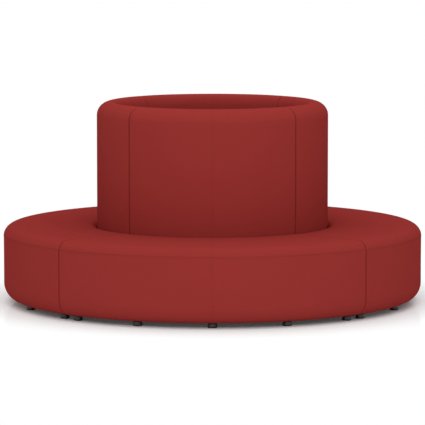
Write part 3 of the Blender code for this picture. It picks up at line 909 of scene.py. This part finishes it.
def foot_profile(low, high):
    """The foot's outline as (radius, height), from the middle of its base to its stud's end."""
    pad = (high.x - low.x) / 2
    edge = (pad - PAD_EDGE_WIDTH, low.z + PAD_EDGE_RISE)
    bevel = (PAD_TOP_RADIUS - PAD_BEVEL, PAD_TOP - PAD_BEVEL)
    thread = np.arange(BOSS_TOP + THREAD_STEP, THREAD_END, THREAD_STEP)
    return np.concatenate([
        [(0.0, low.z), (pad / 2, low.z)],
        rounding(edge, PAD_EDGE_WIDTH, PAD_EDGE_RISE, -pi / 2, 0, PAD_EDGE_STEPS),
        rounding(bevel, PAD_BEVEL, PAD_BEVEL, 0, pi / 2, PAD_BEVEL_STEPS),
        [(BOSS_RADIUS, PAD_TOP), (BOSS_RADIUS, BOSS_TOP - BOSS_BEVEL)],
        [(BOSS_RADIUS - BOSS_BEVEL, BOSS_TOP), (STUD_RADIUS, BOSS_TOP)],
        np.stack([np.full(len(thread), STUD_RADIUS), thread], axis=1),
        [(STUD_RADIUS, high.z - THREAD_DEPTH), (STUD_RADIUS - THREAD_DEPTH, high.z), (0.0, high.z)],
    ])


# %% [markdown]
# A Screw modifier could turn the profile. Worked out as an array, the stud's thread can be cut in
# the same step. A helix is a wave that moves up by one pitch in one turn, so the depth of the cut
# depends on height / pitch − turn / full turn.

# %% Turn the feet
FOOT_SIDES = 48


def thread_cut(radius, height, turn):
    """Depth of the thread: half its depth × (1 − cosine of the helix's phase), on the stud."""
    phase = tau * height / THREAD_PITCH - turn
    threaded = (radius <= STUD_RADIUS) & (height > BOSS_TOP) & (height < THREAD_END)
    return np.where(threaded, THREAD_DEPTH / 2 * (1 - np.cos(phase)), 0)


def turned(name, profile, centre):
    """A closed solid of revolution: centre + (radius − thread) × (cosine, sine), at each height."""
    inner = profile[1:-1]
    turn = np.arange(FOOT_SIDES) * tau / FOOT_SIDES
    height = np.broadcast_to(inner[:, 1:], (len(inner), FOOT_SIDES))
    radius = inner[:, :1] - thread_cut(inner[:, :1], height, turn)
    ring = np.stack([radius * np.cos(turn), radius * np.sin(turn), height], axis=-1).reshape(-1, 3)
    points = np.concatenate([ring, [(0, 0, profile[0, 1]), (0, 0, profile[-1, 1])]])
    points[:, :2] += centre

    side = np.arange(FOOT_SIDES)
    following = (side + 1) % FOOT_SIDES
    row = np.arange(len(inner) - 1)[:, None] * FOOT_SIDES
    cells = np.stack([row + side, row + following,
                      row + FOOT_SIDES + following, row + FOOT_SIDES + side], axis=-1)
    last = len(ring) - FOOT_SIDES
    base = np.stack([np.full(FOOT_SIDES, len(ring)), following, side], axis=1)
    tip = np.stack([np.full(FOOT_SIDES, len(ring) + 1), last + side, last + following], axis=1)
    faces = cells.reshape(-1, 4).tolist() + base.tolist() + tip.tolist()
    return smoothed(new_mesh(name, points, faces))


print("the thread is", mm(THREAD_DEPTH), "mm deep")

# %% [markdown]
# Each foot can be screwed out by itself, so each is a piece of its own that rides on its own rigid
# foot. All of them could share one mesh, but then every object would have to be moved. Here every
# foot is turned at its own place, and all objects stay at the origin.

# %% Put the feet in their places
feet = []
foot_places = []
for node in sorted(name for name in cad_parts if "_foot_" in name):
    low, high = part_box(node)
    centre = np.array([(low.x + high.x) / 2, (low.y + high.y) / 2])
    foot = add_piece(f"{node}_turned", turned(node, foot_profile(low, high), centre))
    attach(foot, node)
    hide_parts(node)
    feet.append(foot)
    foot_places.append(centre)

print(len(feet), "feet of", len(feet[0].data.polygons), "faces")

# %% [markdown]
# ## Dust cloth
#
# A thin black nonwoven cloth closes the underside of each module and keeps dust out of the
# carcass. It is stapled all round, so it hangs down only a little between its edges. A flat sheet
# would look like board, so it sags: by nothing along its edge, and most in the middle.

# %% Stretch the dust cloth
CLOTH_ROWS, CLOTH_COLUMNS = 40, 90
CLOTH_THICKNESS = 0.0006
CLOTH_SAG = 0.0008


def end_distance(node):
    """Least distance of a node's corners from the joint's plane: radius × sine of the angle left."""
    points = corners(node)
    turn = np.arctan2(points[:, 0], -points[:, 1])
    return float((np.sin(HALF - np.abs(turn)) * np.hypot(points[:, 0], points[:, 1])).min())


cloth_inner, cloth_outer = radii("front_dust_cover")
cloth_end = end_distance("front_dust_cover")
cloth_height = (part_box("front_dust_cover")[0].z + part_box("front_dust_cover")[1].z) / 2

share = np.linspace(0, 1, CLOTH_ROWS)[:, None]
across = np.linspace(0, 1, CLOTH_COLUMNS)[None, :]
radius = cloth_inner + share * (cloth_outer - cloth_inner) + 0 * across
angle = (2 * across - 1) * (HALF - np.arcsin(cloth_end / radius))
height = cloth_height - CLOTH_SAG * np.sin(pi * share) * np.sin(pi * across)

cells = grid_cells(CLOTH_ROWS, CLOTH_COLUMNS).tolist()
dust_cloth = new_mesh("dust_cloth", in_space(radius, angle, height), cells)
dust_cloth.shade_smooth()
print("dust cloth between radii", mm(cloth_inner, cloth_outer), "mm, sag", mm(CLOTH_SAG), "mm")

# A quarter-ring sector is cut from a rectangle as wide as its outer corners and as deep as the
# sector, and its area is a quarter of the ring less the strip left free at each joint.

dust_cloths = in_each_module("dust_cloth", dust_cloth)
for module, piece in dust_cloths.items():
    body = piece.modifiers.new("thickness", "SOLIDIFY")
    body.thickness = CLOTH_THICKNESS
    body.offset = 0
    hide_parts(f"{module}_dust_cover")

# %% [markdown]
# ## Staples
#
# Wire staples hold the dust cloth, about 6 cm apart and a little in from its edge. Each is a bent
# wire: a short path, with a six-sided section carried along it, so that it glints as a wire does
# and a flat strip wouldn't. One staple's points are worked out once, and then placed and turned
# for all of them in one array.

# %% Bend one staple
STAPLE_WIDTH = 0.010
STAPLE_WIRE = 0.0010
STAPLE_BEND = 0.0006
STAPLE_LEG = 0.0012
STAPLE_SIDES = 6


def staple_wire():
    """Local points (sides, path, 3) of a staple: along its crown, across it, and up into the wood.

    The path goes up, round and along the crown; each ring of the wire is its path point plus
    half the wire × (cosine across, sine along the path's own normal).
    """
    half = STAPLE_WIDTH / 2
    path = np.array([(-half, STAPLE_LEG), (-half, STAPLE_BEND), (STAPLE_BEND - half, 0),
                     (half - STAPLE_BEND, 0), (half, STAPLE_BEND), (half, STAPLE_LEG)])
    heading = np.gradient(path, axis=0)
    heading /= np.linalg.norm(heading, axis=1, keepdims=True)
    turn = np.arange(STAPLE_SIDES)[:, None] * tau / STAPLE_SIDES
    out = STAPLE_WIRE / 2 * np.sin(turn)
    return np.stack([path[:, 0] - out * heading[:, 1],
                     STAPLE_WIRE / 2 * np.cos(turn) + 0 * path[:, 0],
                     path[:, 1] + out * heading[:, 0]], axis=-1)


wire = staple_wire()
print("one staple has", wire.shape[0], "by", wire.shape[1], "points")

# %% [markdown]
# The staples stand in rows along the cloth's outer and inner curve and along its two ends. A place
# under a foot is left out, because a foot was screwed in there first.

# %% Mark the staples' places
STAPLE_SPACING = 0.060
STAPLE_INSET = 0.008
FOOT_CLEARANCE = 0.018


def staple_places():
    """Angle, radius and turn of each staple: turned with the ring, or a quarter turn at an end."""
    places = []
    for radius in (cloth_inner + STAPLE_INSET, cloth_outer - STAPLE_INSET):
        limit = HALF - asin((cloth_end + STAPLE_INSET) / radius)
        count = round(2 * limit * radius / STAPLE_SPACING)
        angle = np.linspace(-limit, limit, count + 1)[1:-1]
        places.append(np.stack([angle, np.full(len(angle), radius), angle], axis=1))
    radius = np.arange(cloth_inner + STAPLE_INSET, cloth_outer - STAPLE_INSET, STAPLE_SPACING)
    for side in (-1, 1):
        angle = side * (HALF - np.arcsin((cloth_end + STAPLE_INSET) / radius))
        places.append(np.stack([angle, radius, np.full(len(angle), side * HALF + pi / 2)], axis=1))
    return np.concatenate(places)


angle, radius, turn = staple_places().T
drop = (CLOTH_THICKNESS + STAPLE_WIRE) / 2
centre = in_space(radius, angle, np.full(len(angle), cloth_height - drop))
to_feet = np.linalg.norm(centre[:, None, :2] - np.array(foot_places), axis=2).min(axis=1)
centre, turn = centre[to_feet > FOOT_CLEARANCE], turn[to_feet > FOOT_CLEARANCE]

print(len(centre), "staples in each module")

# %% [markdown]
# Each staple's own three directions, along its crown, across it and up, carry its points to its
# place. All staples of a module become one mesh.

# %% Drive the staples
ahead = np.stack([np.cos(turn), np.sin(turn), 0 * turn], axis=1)[:, None, None, :]
aside = np.stack([-np.sin(turn), np.cos(turn), 0 * turn], axis=1)[:, None, None, :]
up = np.array([0, 0, 1])
points = centre[:, None, None, :] + ahead * wire[..., :1] + aside * wire[..., 1:2] + up * wire[..., 2:]

path = wire.shape[1]
each = STAPLE_SIDES * path
first_end = np.arange(STAPLE_SIDES) * path
start = np.arange(len(centre))[:, None, None] * each
sides = start + grid_cells(STAPLE_SIDES + 1, path) % each
caps = start + np.stack([first_end, (first_end + path - 1)[::-1]])
faces = sides.reshape(-1, 4).tolist() + caps.reshape(-1, STAPLE_SIDES).tolist()
staples = in_each_module("staples", smoothed(new_mesh("staples", points, faces)))

print(len(faces), "faces of staples in each module")

# %% [markdown]
# ## Shader maths as Python
#
# A material is a graph of nodes. Writing it as plain arithmetic keeps it readable: this class
# holds one output socket, and adding, subtracting or multiplying two of them adds a Math node.
# One method, `node`, adds any other kind. Colours and vectors go through Mix and Vector Math
# nodes, because a Math node would turn a colour grey.

# %% Wrap a socket
class Wire:
    """One output socket of a node tree. Arithmetic adds Math nodes, and `node` adds any other."""

    def __init__(self, tree, socket=None):
        self.tree = tree
        self.socket = socket

    def node(self, kind, settings=None, sockets=None, out=0):
        """Adds a node: its settings are set first, then the values or links of its sockets."""
        made = self.tree.nodes.new(kind)
        for name, value in (settings or {}).items():
            setattr(made, name, value)
        for name, value in (sockets or {}).items():
            if isinstance(value, Wire):
                self.tree.links.new(value.socket, made.inputs[name])
            else:
                made.inputs[name].default_value = value
        return Wire(self.tree, made.outputs[out])

    def math(self, operation, first, second=0.0):
        """Any operation of the Math node, on wires or numbers."""
        return self.node("ShaderNodeMath", {"operation": operation}, {0: first, 1: second})

    def __add__(self, other):
        return self.math("ADD", self, other)

    __radd__ = __add__

    def __sub__(self, other):
        return self.math("SUBTRACT", self, other)

    def __rsub__(self, other):
        return self.math("SUBTRACT", other, self)

    def __mul__(self, other):
        return self.math("MULTIPLY", self, other)

    __rmul__ = __mul__

    def __abs__(self):
        return self.math("ABSOLUTE", self)

    def wave(self, spacing):
        """The sine of pi × this value / spacing: a wave that crosses zero once per spacing."""
        return self.math("SINE", self * (pi / spacing))

    def part(self, axis):
        """One of a vector's three parts, as a number."""
        return self.node("ShaderNodeSeparateXYZ", sockets={0: self}, out=axis)

    def stretched(self, factors):
        """A vector times three numbers, part by part."""
        return self.node("ShaderNodeVectorMath", {"operation": "MULTIPLY"}, {0: self, 1: factors})

    def ramp(self, low, high):
        """0 where the value is below low, 1 above high, smooth in between."""
        return self.node("ShaderNodeMapRange", {"interpolation_type": "SMOOTHSTEP"},
                         {"Value": self, "From Min": low, "From Max": high})

    def noise(self, scale, detail=2.0):
        """Noise from 0 to 1 at this place, with so many lumps per metre."""
        lumps = {"Vector": self, "Scale": scale, "Detail": detail}
        return self.node("ShaderNodeTexNoise", sockets=lumps)

    def blend(self, first, second):
        """A colour that is first where this value is 0 and second where it is 1."""
        colours = {0: self, 6: first, 7: second}      # the Mix node's numbers for a colour's sockets
        return self.node("ShaderNodeMix", {"data_type": "RGBA"}, colours, out=2)

    def bumped(self, distance, strength):
        """A normal tilted by this height map, where a height of 1 stands distance metres proud."""
        heights = {"Height": self, "Distance": distance, "Strength": strength}
        return self.node("ShaderNodeBump", sockets=heights)


print("a wire can", [name for name in vars(Wire) if not name.startswith("_")])

# %% [markdown]
# ## A finish
#
# Every finish starts from the Principled shader. Values that are the same all over are set on its
# own sockets, and only what changes over the surface is linked. Patterns start from the place on
# the object, so a piece and its three turned copies each get a pattern of their own.

# %% Start a finish
def new_finish(name, colour, roughness, **constants):
    """A material, its shader with the constant values set, and the place on the object."""
    finish = bpy.data.materials.new(name)
    finish.use_nodes = True
    shader = finish.node_tree.nodes["Principled BSDF"]
    shader.inputs["Base Color"].default_value = colour
    shader.inputs["Roughness"].default_value = roughness
    for socket, value in constants.items():
        shader.inputs[socket.replace("_", " ")].default_value = value
    finish.diffuse_color = colour
    return finish, shader, Wire(finish.node_tree).node("ShaderNodeTexCoord", out="Object")


def feed(finish, shader, **links):
    """Links wires to the shader's sockets."""
    for socket, wire in links.items():
        finish.node_tree.links.new(wire.socket, shader.inputs[socket.replace("_", " ")])


def dress(pieces, finish):
    """Gives every piece this finish alone."""
    for piece in pieces:
        piece.data.materials.clear()
        piece.data.materials.append(finish)


MIDDLE = (0.35, 0.65)    # most of a noise's values lie between these

print("finishes take the middle of a noise as", MIDDLE)

# %% [markdown]
# ## Red upholstery cloth
#
# The cover is a matte, plain-woven cloth in brick red. In a plain weave each thread passes over
# one and under one, so its raised knuckles form a fine chequer. The product of two sine waves
# across the cloth's flat coordinates gives it: where the product is positive a warp thread is on
# top, where it is negative a weft thread is, and its size is the height of the knuckle. An image
# of a weave would repeat, and blur close up.
#
# Real yarn varies. Stretched noise along each thread direction gives thin and thick places, and a
# little low noise gives the fuzz. Over the whole sofa the dye and the nap vary very slightly. Near
# a seam or a joint the cloth takes painted shade, a darker red that stands in for the shade there.

# %% Weave the red cloth
RED_WARP = (0.312, 0.0353, 0.0310, 1.0)
RED_WEFT = (0.283, 0.0307, 0.0267, 1.0)
RED_WORN = (0.316, 0.0392, 0.0348, 1.0)
# painted shade: the darker red laid on near seams and joints
RED_PAINTED_SHADE = (0.150, 0.0135, 0.0115, 1.0)
RED_ROUGHNESS = 0.92
THREAD = 0.0012          # metres from one thread to the next
KNUCKLE_EDGE = 0.3
YARN_ALONG, YARN_ACROSS = 45.0, 830.0
NAP_NOISE = (5.0, 3.0)   # lumps per metre, detail
NAP_EDGE = (0.3, 0.7)
NAP_SHARE = 0.14
FUZZ_SCALE = 2600.0
FUZZ_HEIGHT = 0.4        # beside a knuckle's height of 1
WEAVE_RELIEF = (0.00022, 0.6)      # metres, strength

red, shader, place = new_finish("red_cloth", RED_WARP, RED_ROUGHNESS, Specular_IOR_Level=0.0)
flat = place.node("ShaderNodeUVMap", {"uv_map": CLOTH_MAP})
chequer = flat.part(0).wave(THREAD) * flat.part(1).wave(THREAD)
warp_yarn = flat.stretched((YARN_ACROSS, YARN_ALONG, 1.0)).noise(1.0)
weft_yarn = flat.stretched((YARN_ALONG, YARN_ACROSS, 1.0)).noise(1.0)
yarn = (warp_yarn + weft_yarn) * 0.5

woven = chequer.ramp(-KNUCKLE_EDGE, KNUCKLE_EDGE).blend(RED_WEFT, RED_WARP)
nap = (yarn.ramp(*MIDDLE) + place.noise(*NAP_NOISE).ramp(*NAP_EDGE)) * NAP_SHARE
# the share of painted shade near seams and joints, read from the mesh
seam = place.node("ShaderNodeAttribute", {"attribute_name": PAINTED_SHADE_ATTRIBUTE}, out="Fac")
colour = seam.blend(nap.blend(woven, RED_WORN), RED_PAINTED_SHADE)
relief = abs(chequer) + yarn + FUZZ_HEIGHT * flat.noise(FUZZ_SCALE)
feed(red, shader, Base_Color=colour, Normal=relief.bumped(*WEAVE_RELIEF))
dress(upholstery, red)

print("red cloth has", len(red.node_tree.nodes), "nodes")

# %% [markdown]
# ## Nylon pads and zinc studs
#
# The pads are moulded in black nylon, fairly glossy, with a slight unevenness from the mould and
# fine scuffs round the lower edge. The stud above the boss is bright zinc-plated steel. Both are
# one turned piece, which could carry two materials. One finish that asks for the height is simpler:
# above the boss the surface is metal.

# %% Mould the feet's finish
NYLON = (0.007, 0.007, 0.008, 1.0)
NYLON_SCUFF = (0.022, 0.022, 0.023, 1.0)
NYLON_ROUGHNESS = 0.24
MOULD_SCALE, MOULD_DULLNESS = 160.0, 0.10
SCUFF_STRETCH = (400.0, 400.0, 90.0)
SCUFF_NOISE = (1.0, 4.0)
SCUFF_EDGE = (0.56, 0.76)
SCUFF_TOP = 0.012
SCUFF_DULLNESS = 0.25
GRIT_SCALE = 900.0
GRIT_RELIEF = (0.00004, 0.5)
ZINC = (0.62, 0.63, 0.65, 1.0)
ZINC_DULL = (0.50, 0.51, 0.53, 1.0)
STUD_CLOUDS = 220.0
STUD_CLOUD_EDGE = (0.4, 0.7)
STEEL_EDGE = BOSS_BEVEL / 4        # nylon turns to steel this near to the boss's top

foot_finish, shader, place = new_finish("black_nylon", NYLON, NYLON_ROUGHNESS)
rise = place.part(2)
steel = rise.ramp(BOSS_TOP - STEEL_EDGE, BOSS_TOP + STEEL_EDGE)
low_down = 1 - rise.ramp(0.0, SCUFF_TOP)
scuff = place.stretched(SCUFF_STRETCH).noise(*SCUFF_NOISE).ramp(*SCUFF_EDGE) * low_down
pad_colour = scuff.blend(NYLON, NYLON_SCUFF)
stud_colour = place.noise(STUD_CLOUDS).ramp(*STUD_CLOUD_EDGE).blend(ZINC, ZINC_DULL)
dullness = NYLON_ROUGHNESS + MOULD_DULLNESS * place.noise(MOULD_SCALE) + SCUFF_DULLNESS * scuff
feed(foot_finish, shader, Base_Color=steel.blend(pad_colour, stud_colour), Metallic=steel,
     Roughness=dullness, Normal=place.noise(GRIT_SCALE).bumped(*GRIT_RELIEF))
dress(feet, foot_finish)

print("nylon finish on", len(feet), "feet")

# %% [markdown]
# ## Plated steel
#
# The staples are zinc-plated too. Fresh zinc is bright and a little cloudy, with faint marks along
# the way that the metal was rolled or drawn. The ganging plates, which hold two modules together
# underneath, have the same plating with a black passivated surface, so that they don't flash out
# of the shadow under the sofa. One function makes both, because only their tones differ.

# %% Plate the steel
ROLLING_MARKS = (25.0, 900.0, 900.0)
MARK_DULLNESS = 0.10
MARK_RELIEF = (0.00003, 0.5)
CLOUDS = (70.0, 3.0)
CLOUD_DULLNESS = 0.12
ZINC_ROUGHNESS = 0.26
BLACK_ZINC = (0.030, 0.030, 0.033, 1.0)
BLACK_ZINC_DULL = (0.018, 0.018, 0.020, 1.0)
BLACK_ZINC_ROUGHNESS = 0.45


def plated(name, bright, dull, smoothest):
    """A metal whose colour clouds from bright to dull, with rolling marks in gloss and relief."""
    finish, shader, place = new_finish(name, bright, smoothest, Metallic=1.0)
    cloud = place.noise(*CLOUDS)
    marks = place.stretched(ROLLING_MARKS).noise(1.0)
    feed(finish, shader, Base_Color=cloud.ramp(*MIDDLE).blend(bright, dull),
         Roughness=smoothest + CLOUD_DULLNESS * cloud + MARK_DULLNESS * marks,
         Normal=marks.bumped(*MARK_RELIEF))
    return finish


plates = [body for node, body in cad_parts.items() if node.startswith("ganging_plate")]
dress(staples.values(), plated("zinc_steel", ZINC, ZINC_DULL, ZINC_ROUGHNESS))
dress(plates, plated("black_zinc_steel", BLACK_ZINC, BLACK_ZINC_DULL, BLACK_ZINC_ROUGHNESS))

print("plated", len(plates), "plates and", len(staples), "sets of staples")

# %% [markdown]
# ## Birch plywood
#
# The carcasses are sawn from birch plywood. Its face is pale, with long faint grain, and its sawn
# edge shows the plies as thin light and dark stripes. Stripes by height do for the edges of the
# panels that lie flat. They cross the faces of the upright walls too, where only grain would be on
# the real ones, but foam and covers hide those, so one finish is enough.

# %% Saw the plywood
BIRCH = (0.63, 0.47, 0.29, 1.0)
BIRCH_GRAIN = (0.52, 0.36, 0.21, 1.0)
BIRCH_GLUE = (0.34, 0.22, 0.13, 1.0)
BIRCH_ROUGHNESS = 0.55
GRAIN_STRETCH = (7.0, 70.0, 70.0)
GRAIN_NOISE = (1.0, 5.0)
GRAIN_DULLNESS = 0.15
GRAIN_RELIEF = (0.0002, 0.4)
PLY = 0.0015
PLY_WAVER, WAVER_SCALE = 0.0004, 3.0
GLUE_EDGE = (0.55, 0.95)
GLUE_SHARE = 0.5

plywood, shader, place = new_finish("birch_plywood", BIRCH, BIRCH_ROUGHNESS)
grain = place.stretched(GRAIN_STRETCH).noise(*GRAIN_NOISE)
plies = (place.part(2) + PLY_WAVER * place.noise(WAVER_SCALE)).wave(PLY)
glue = abs(plies).ramp(*GLUE_EDGE) * GLUE_SHARE
face = grain.ramp(*MIDDLE).blend(BIRCH, BIRCH_GRAIN)
feed(plywood, shader, Base_Color=glue.blend(face, BIRCH_GLUE),
     Roughness=BIRCH_ROUGHNESS + GRAIN_DULLNESS * grain, Normal=grain.bumped(*GRAIN_RELIEF))
carcasses = [body for node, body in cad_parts.items() if node.endswith("_carcass")]
dress(carcasses, plywood)

print("plywood on", len(carcasses), "carcasses")

# %% [markdown]
# ## Nonwoven dust cloth
#
# The dust cloth is spunbonded: fine fibres laid at random and pressed together at a regular grid
# of tiny dimples. Sine waves in both directions give the dimples, and fine noise the fibres, so
# that no image of the cloth is needed.

# %% Press the nonwoven cloth
NONWOVEN = (0.014, 0.014, 0.015, 1.0)
NONWOVEN_FIBRE = (0.030, 0.030, 0.032, 1.0)
NONWOVEN_ROUGHNESS = 0.75
FIBRE_STRETCH = (1.0, 1.0, 0.2)
FIBRE_NOISE = (1500.0, 4.0)
FIBRE_EDGE = (0.45, 0.70)
FIBRE_DULLNESS = 0.20
DIMPLE = 0.0016
DIMPLE_RELIEF = (0.00015, 0.6)

black_cloth, shader, place = new_finish("black_nonwoven", NONWOVEN, NONWOVEN_ROUGHNESS)
dimples = place.part(0).wave(DIMPLE) * place.part(1).wave(DIMPLE)
fibres = place.stretched(FIBRE_STRETCH).noise(*FIBRE_NOISE)
feed(black_cloth, shader, Base_Color=fibres.ramp(*FIBRE_EDGE).blend(NONWOVEN, NONWOVEN_FIBRE),
     Roughness=NONWOVEN_ROUGHNESS + FIBRE_DULLNESS * fibres,
     Normal=(abs(dimples) + fibres).bumped(*DIMPLE_RELIEF))
dress(dust_cloths.values(), black_cloth)

print("nonwoven on", len(dust_cloths), "dust cloths")

# %% [markdown]
# ## The floor
#
# The sofa stands on a plain white floor, which fades into the white background. Two things happen
# near it: the sofa's soft shadow, and a faint blurred reflection. So the floor is mostly matte,
# with a small share of a rough mirror mixed in. One large square is enough.

# %% Lay the floor
FLOOR_REACH = 120.0

square = FLOOR_REACH * np.array([(-1, -1, 0), (1, -1, 0), (1, 1, 0), (-1, 1, 0)])
floor = add_piece("floor", new_mesh("floor", square, [(0, 1, 2, 3)]))
floor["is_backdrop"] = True

print("floor reaches", FLOOR_REACH, "m to each side")

# %% [markdown]
# The camera sees the floor a little lighter and cooler than the light does, with a faint glow.
# That keeps the open floor pure white, and the shadow as neutral as in the photograph, without
# more light on the sofa. What the floor throws back under the sofa is its plain bounce. Away from
# the sofa it turns into white emission for the camera, because the lamps don't reach that far.

# %% Finish the floor
FLOOR_BOUNCE = (0.90, 0.90, 0.90, 1.0)
FLOOR_SEEN = (1.06, 1.11, 1.11, 1.0)
FLOOR_ROUGHNESS = 1.0
FLOOR_GLOW = 0.045
FLOOR_MIRROR = 0.08
FLOOR_MIRROR_ROUGHNESS = 0.05
FLOOR_FADE = (2.2, 3.2)
WHITE = (1.0, 1.0, 1.0, 1.0)
BLACK = (0.0, 0.0, 0.0, 1.0)

floor_finish, shader, place = new_finish(
    "floor", WHITE, FLOOR_ROUGHNESS, Specular_IOR_Level=0.0, Emission_Strength=FLOOR_GLOW)
seen = place.node("ShaderNodeLightPath", out="Is Camera Ray")
feed(floor_finish, shader, Base_Color=seen.blend(FLOOR_BOUNCE, FLOOR_SEEN),
     Emission_Color=seen.blend(BLACK, WHITE))
matte = Wire(place.tree, shader.outputs[0])
polish = {"Color": WHITE, "Roughness": FLOOR_MIRROR_ROUGHNESS}
mirror = place.node("ShaderNodeBsdfGlossy", sockets=polish)
near = place.node("ShaderNodeMixShader", sockets={0: FLOOR_MIRROR, 1: matte, 2: mirror})
white = place.node("ShaderNodeEmission", sockets={"Color": WHITE})
reach = place.node("ShaderNodeVectorMath", {"operation": "LENGTH"}, {0: place}, out=1)
faded = seen * reach.ramp(*FLOOR_FADE)
surface = place.node("ShaderNodeMixShader", sockets={0: faded, 1: near, 2: white})
place.tree.links.new(surface.socket, place.tree.nodes["Material Output"].inputs["Surface"])
dress([floor], floor_finish)

print("floor fades to white from", FLOOR_FADE[0], "to", FLOOR_FADE[1], "m")

# %% [markdown]
# ## The sky
#
# The world gives weak, even light from all sides. The camera sees it as plain white, and so do
# reflections, so that steel and nylon mirror a white studio.

# %% Hang the sky
WORLD_LIGHT = 0.57

world = bpy.data.worlds.new("studio")
world.use_nodes = True
sky = world.node_tree.nodes["Background"]
sky.inputs["Color"].default_value = WHITE
ray = Wire(world.node_tree)
seen = ray.node("ShaderNodeLightPath", out="Is Camera Ray")
mirrored = ray.node("ShaderNodeLightPath", out="Is Glossy Ray")
through = ray.node("ShaderNodeLightPath", out="Is Transmission Ray")
shown = ray.math("MAXIMUM", ray.math("MAXIMUM", seen, mirrored), through)
strength = WORLD_LIGHT + (1 - WORLD_LIGHT) * shown
world.node_tree.links.new(strength.socket, sky.inputs["Strength"])
bpy.context.scene.world = world

print("world light", WORLD_LIGHT)

# %% [markdown]
# ## Two soft lamps
#
# A wide panel overhead lights the seat and the rims, and a second one in front fills the fronts.
# Small lamps would draw hard shadows, and the sofa's is soft. Their levels and the sky's were found
# together, by comparing the render with the photograph over the whole sofa. A lamp's power grows
# with its area, so the helper asks for its brightness instead.

# %% Set up the lamps
CEILING_SIZE = (8.0, 8.0)
CEILING_PLACE = (0.0, 0.0, 5.0)
CEILING_LIGHT = 0.79
FRONT_SIZE = (6.0, 4.0)
FRONT_PLACE = (0.0, -8.0, 4.5)
FRONT_LIGHT = 2.38
AIM = (0.0, 0.0, 0.4)


def panel_light(name, place, size, radiance):
    """A flat rectangular lamp that faces the sofa: its power is radiance × pi × its area."""
    lamp = bpy.data.lights.new(name, "AREA")
    lamp.shape = "RECTANGLE"
    lamp.size, lamp.size_y = size
    lamp.energy = radiance * pi * size[0] * size[1]
    stand = bpy.data.objects.new(name, lamp)
    stand.location = place
    stand.rotation_euler = (Vector(AIM) - Vector(place)).to_track_quat("-Z", "Y").to_euler()
    bpy.context.scene.collection.objects.link(stand)
    return stand


for lamp in (panel_light("ceiling", CEILING_PLACE, CEILING_SIZE, CEILING_LIGHT),
             panel_light("front", FRONT_PLACE, FRONT_SIZE, FRONT_LIGHT)):
    print(lamp.name, round(lamp.data.energy), "W")
bpy.context.scene.view_settings.view_transform = "Standard"

# %% Write the sizes and finish
low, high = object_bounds()
print("box", [round(v, 3) for v in low], [round(v, 3) for v in high])
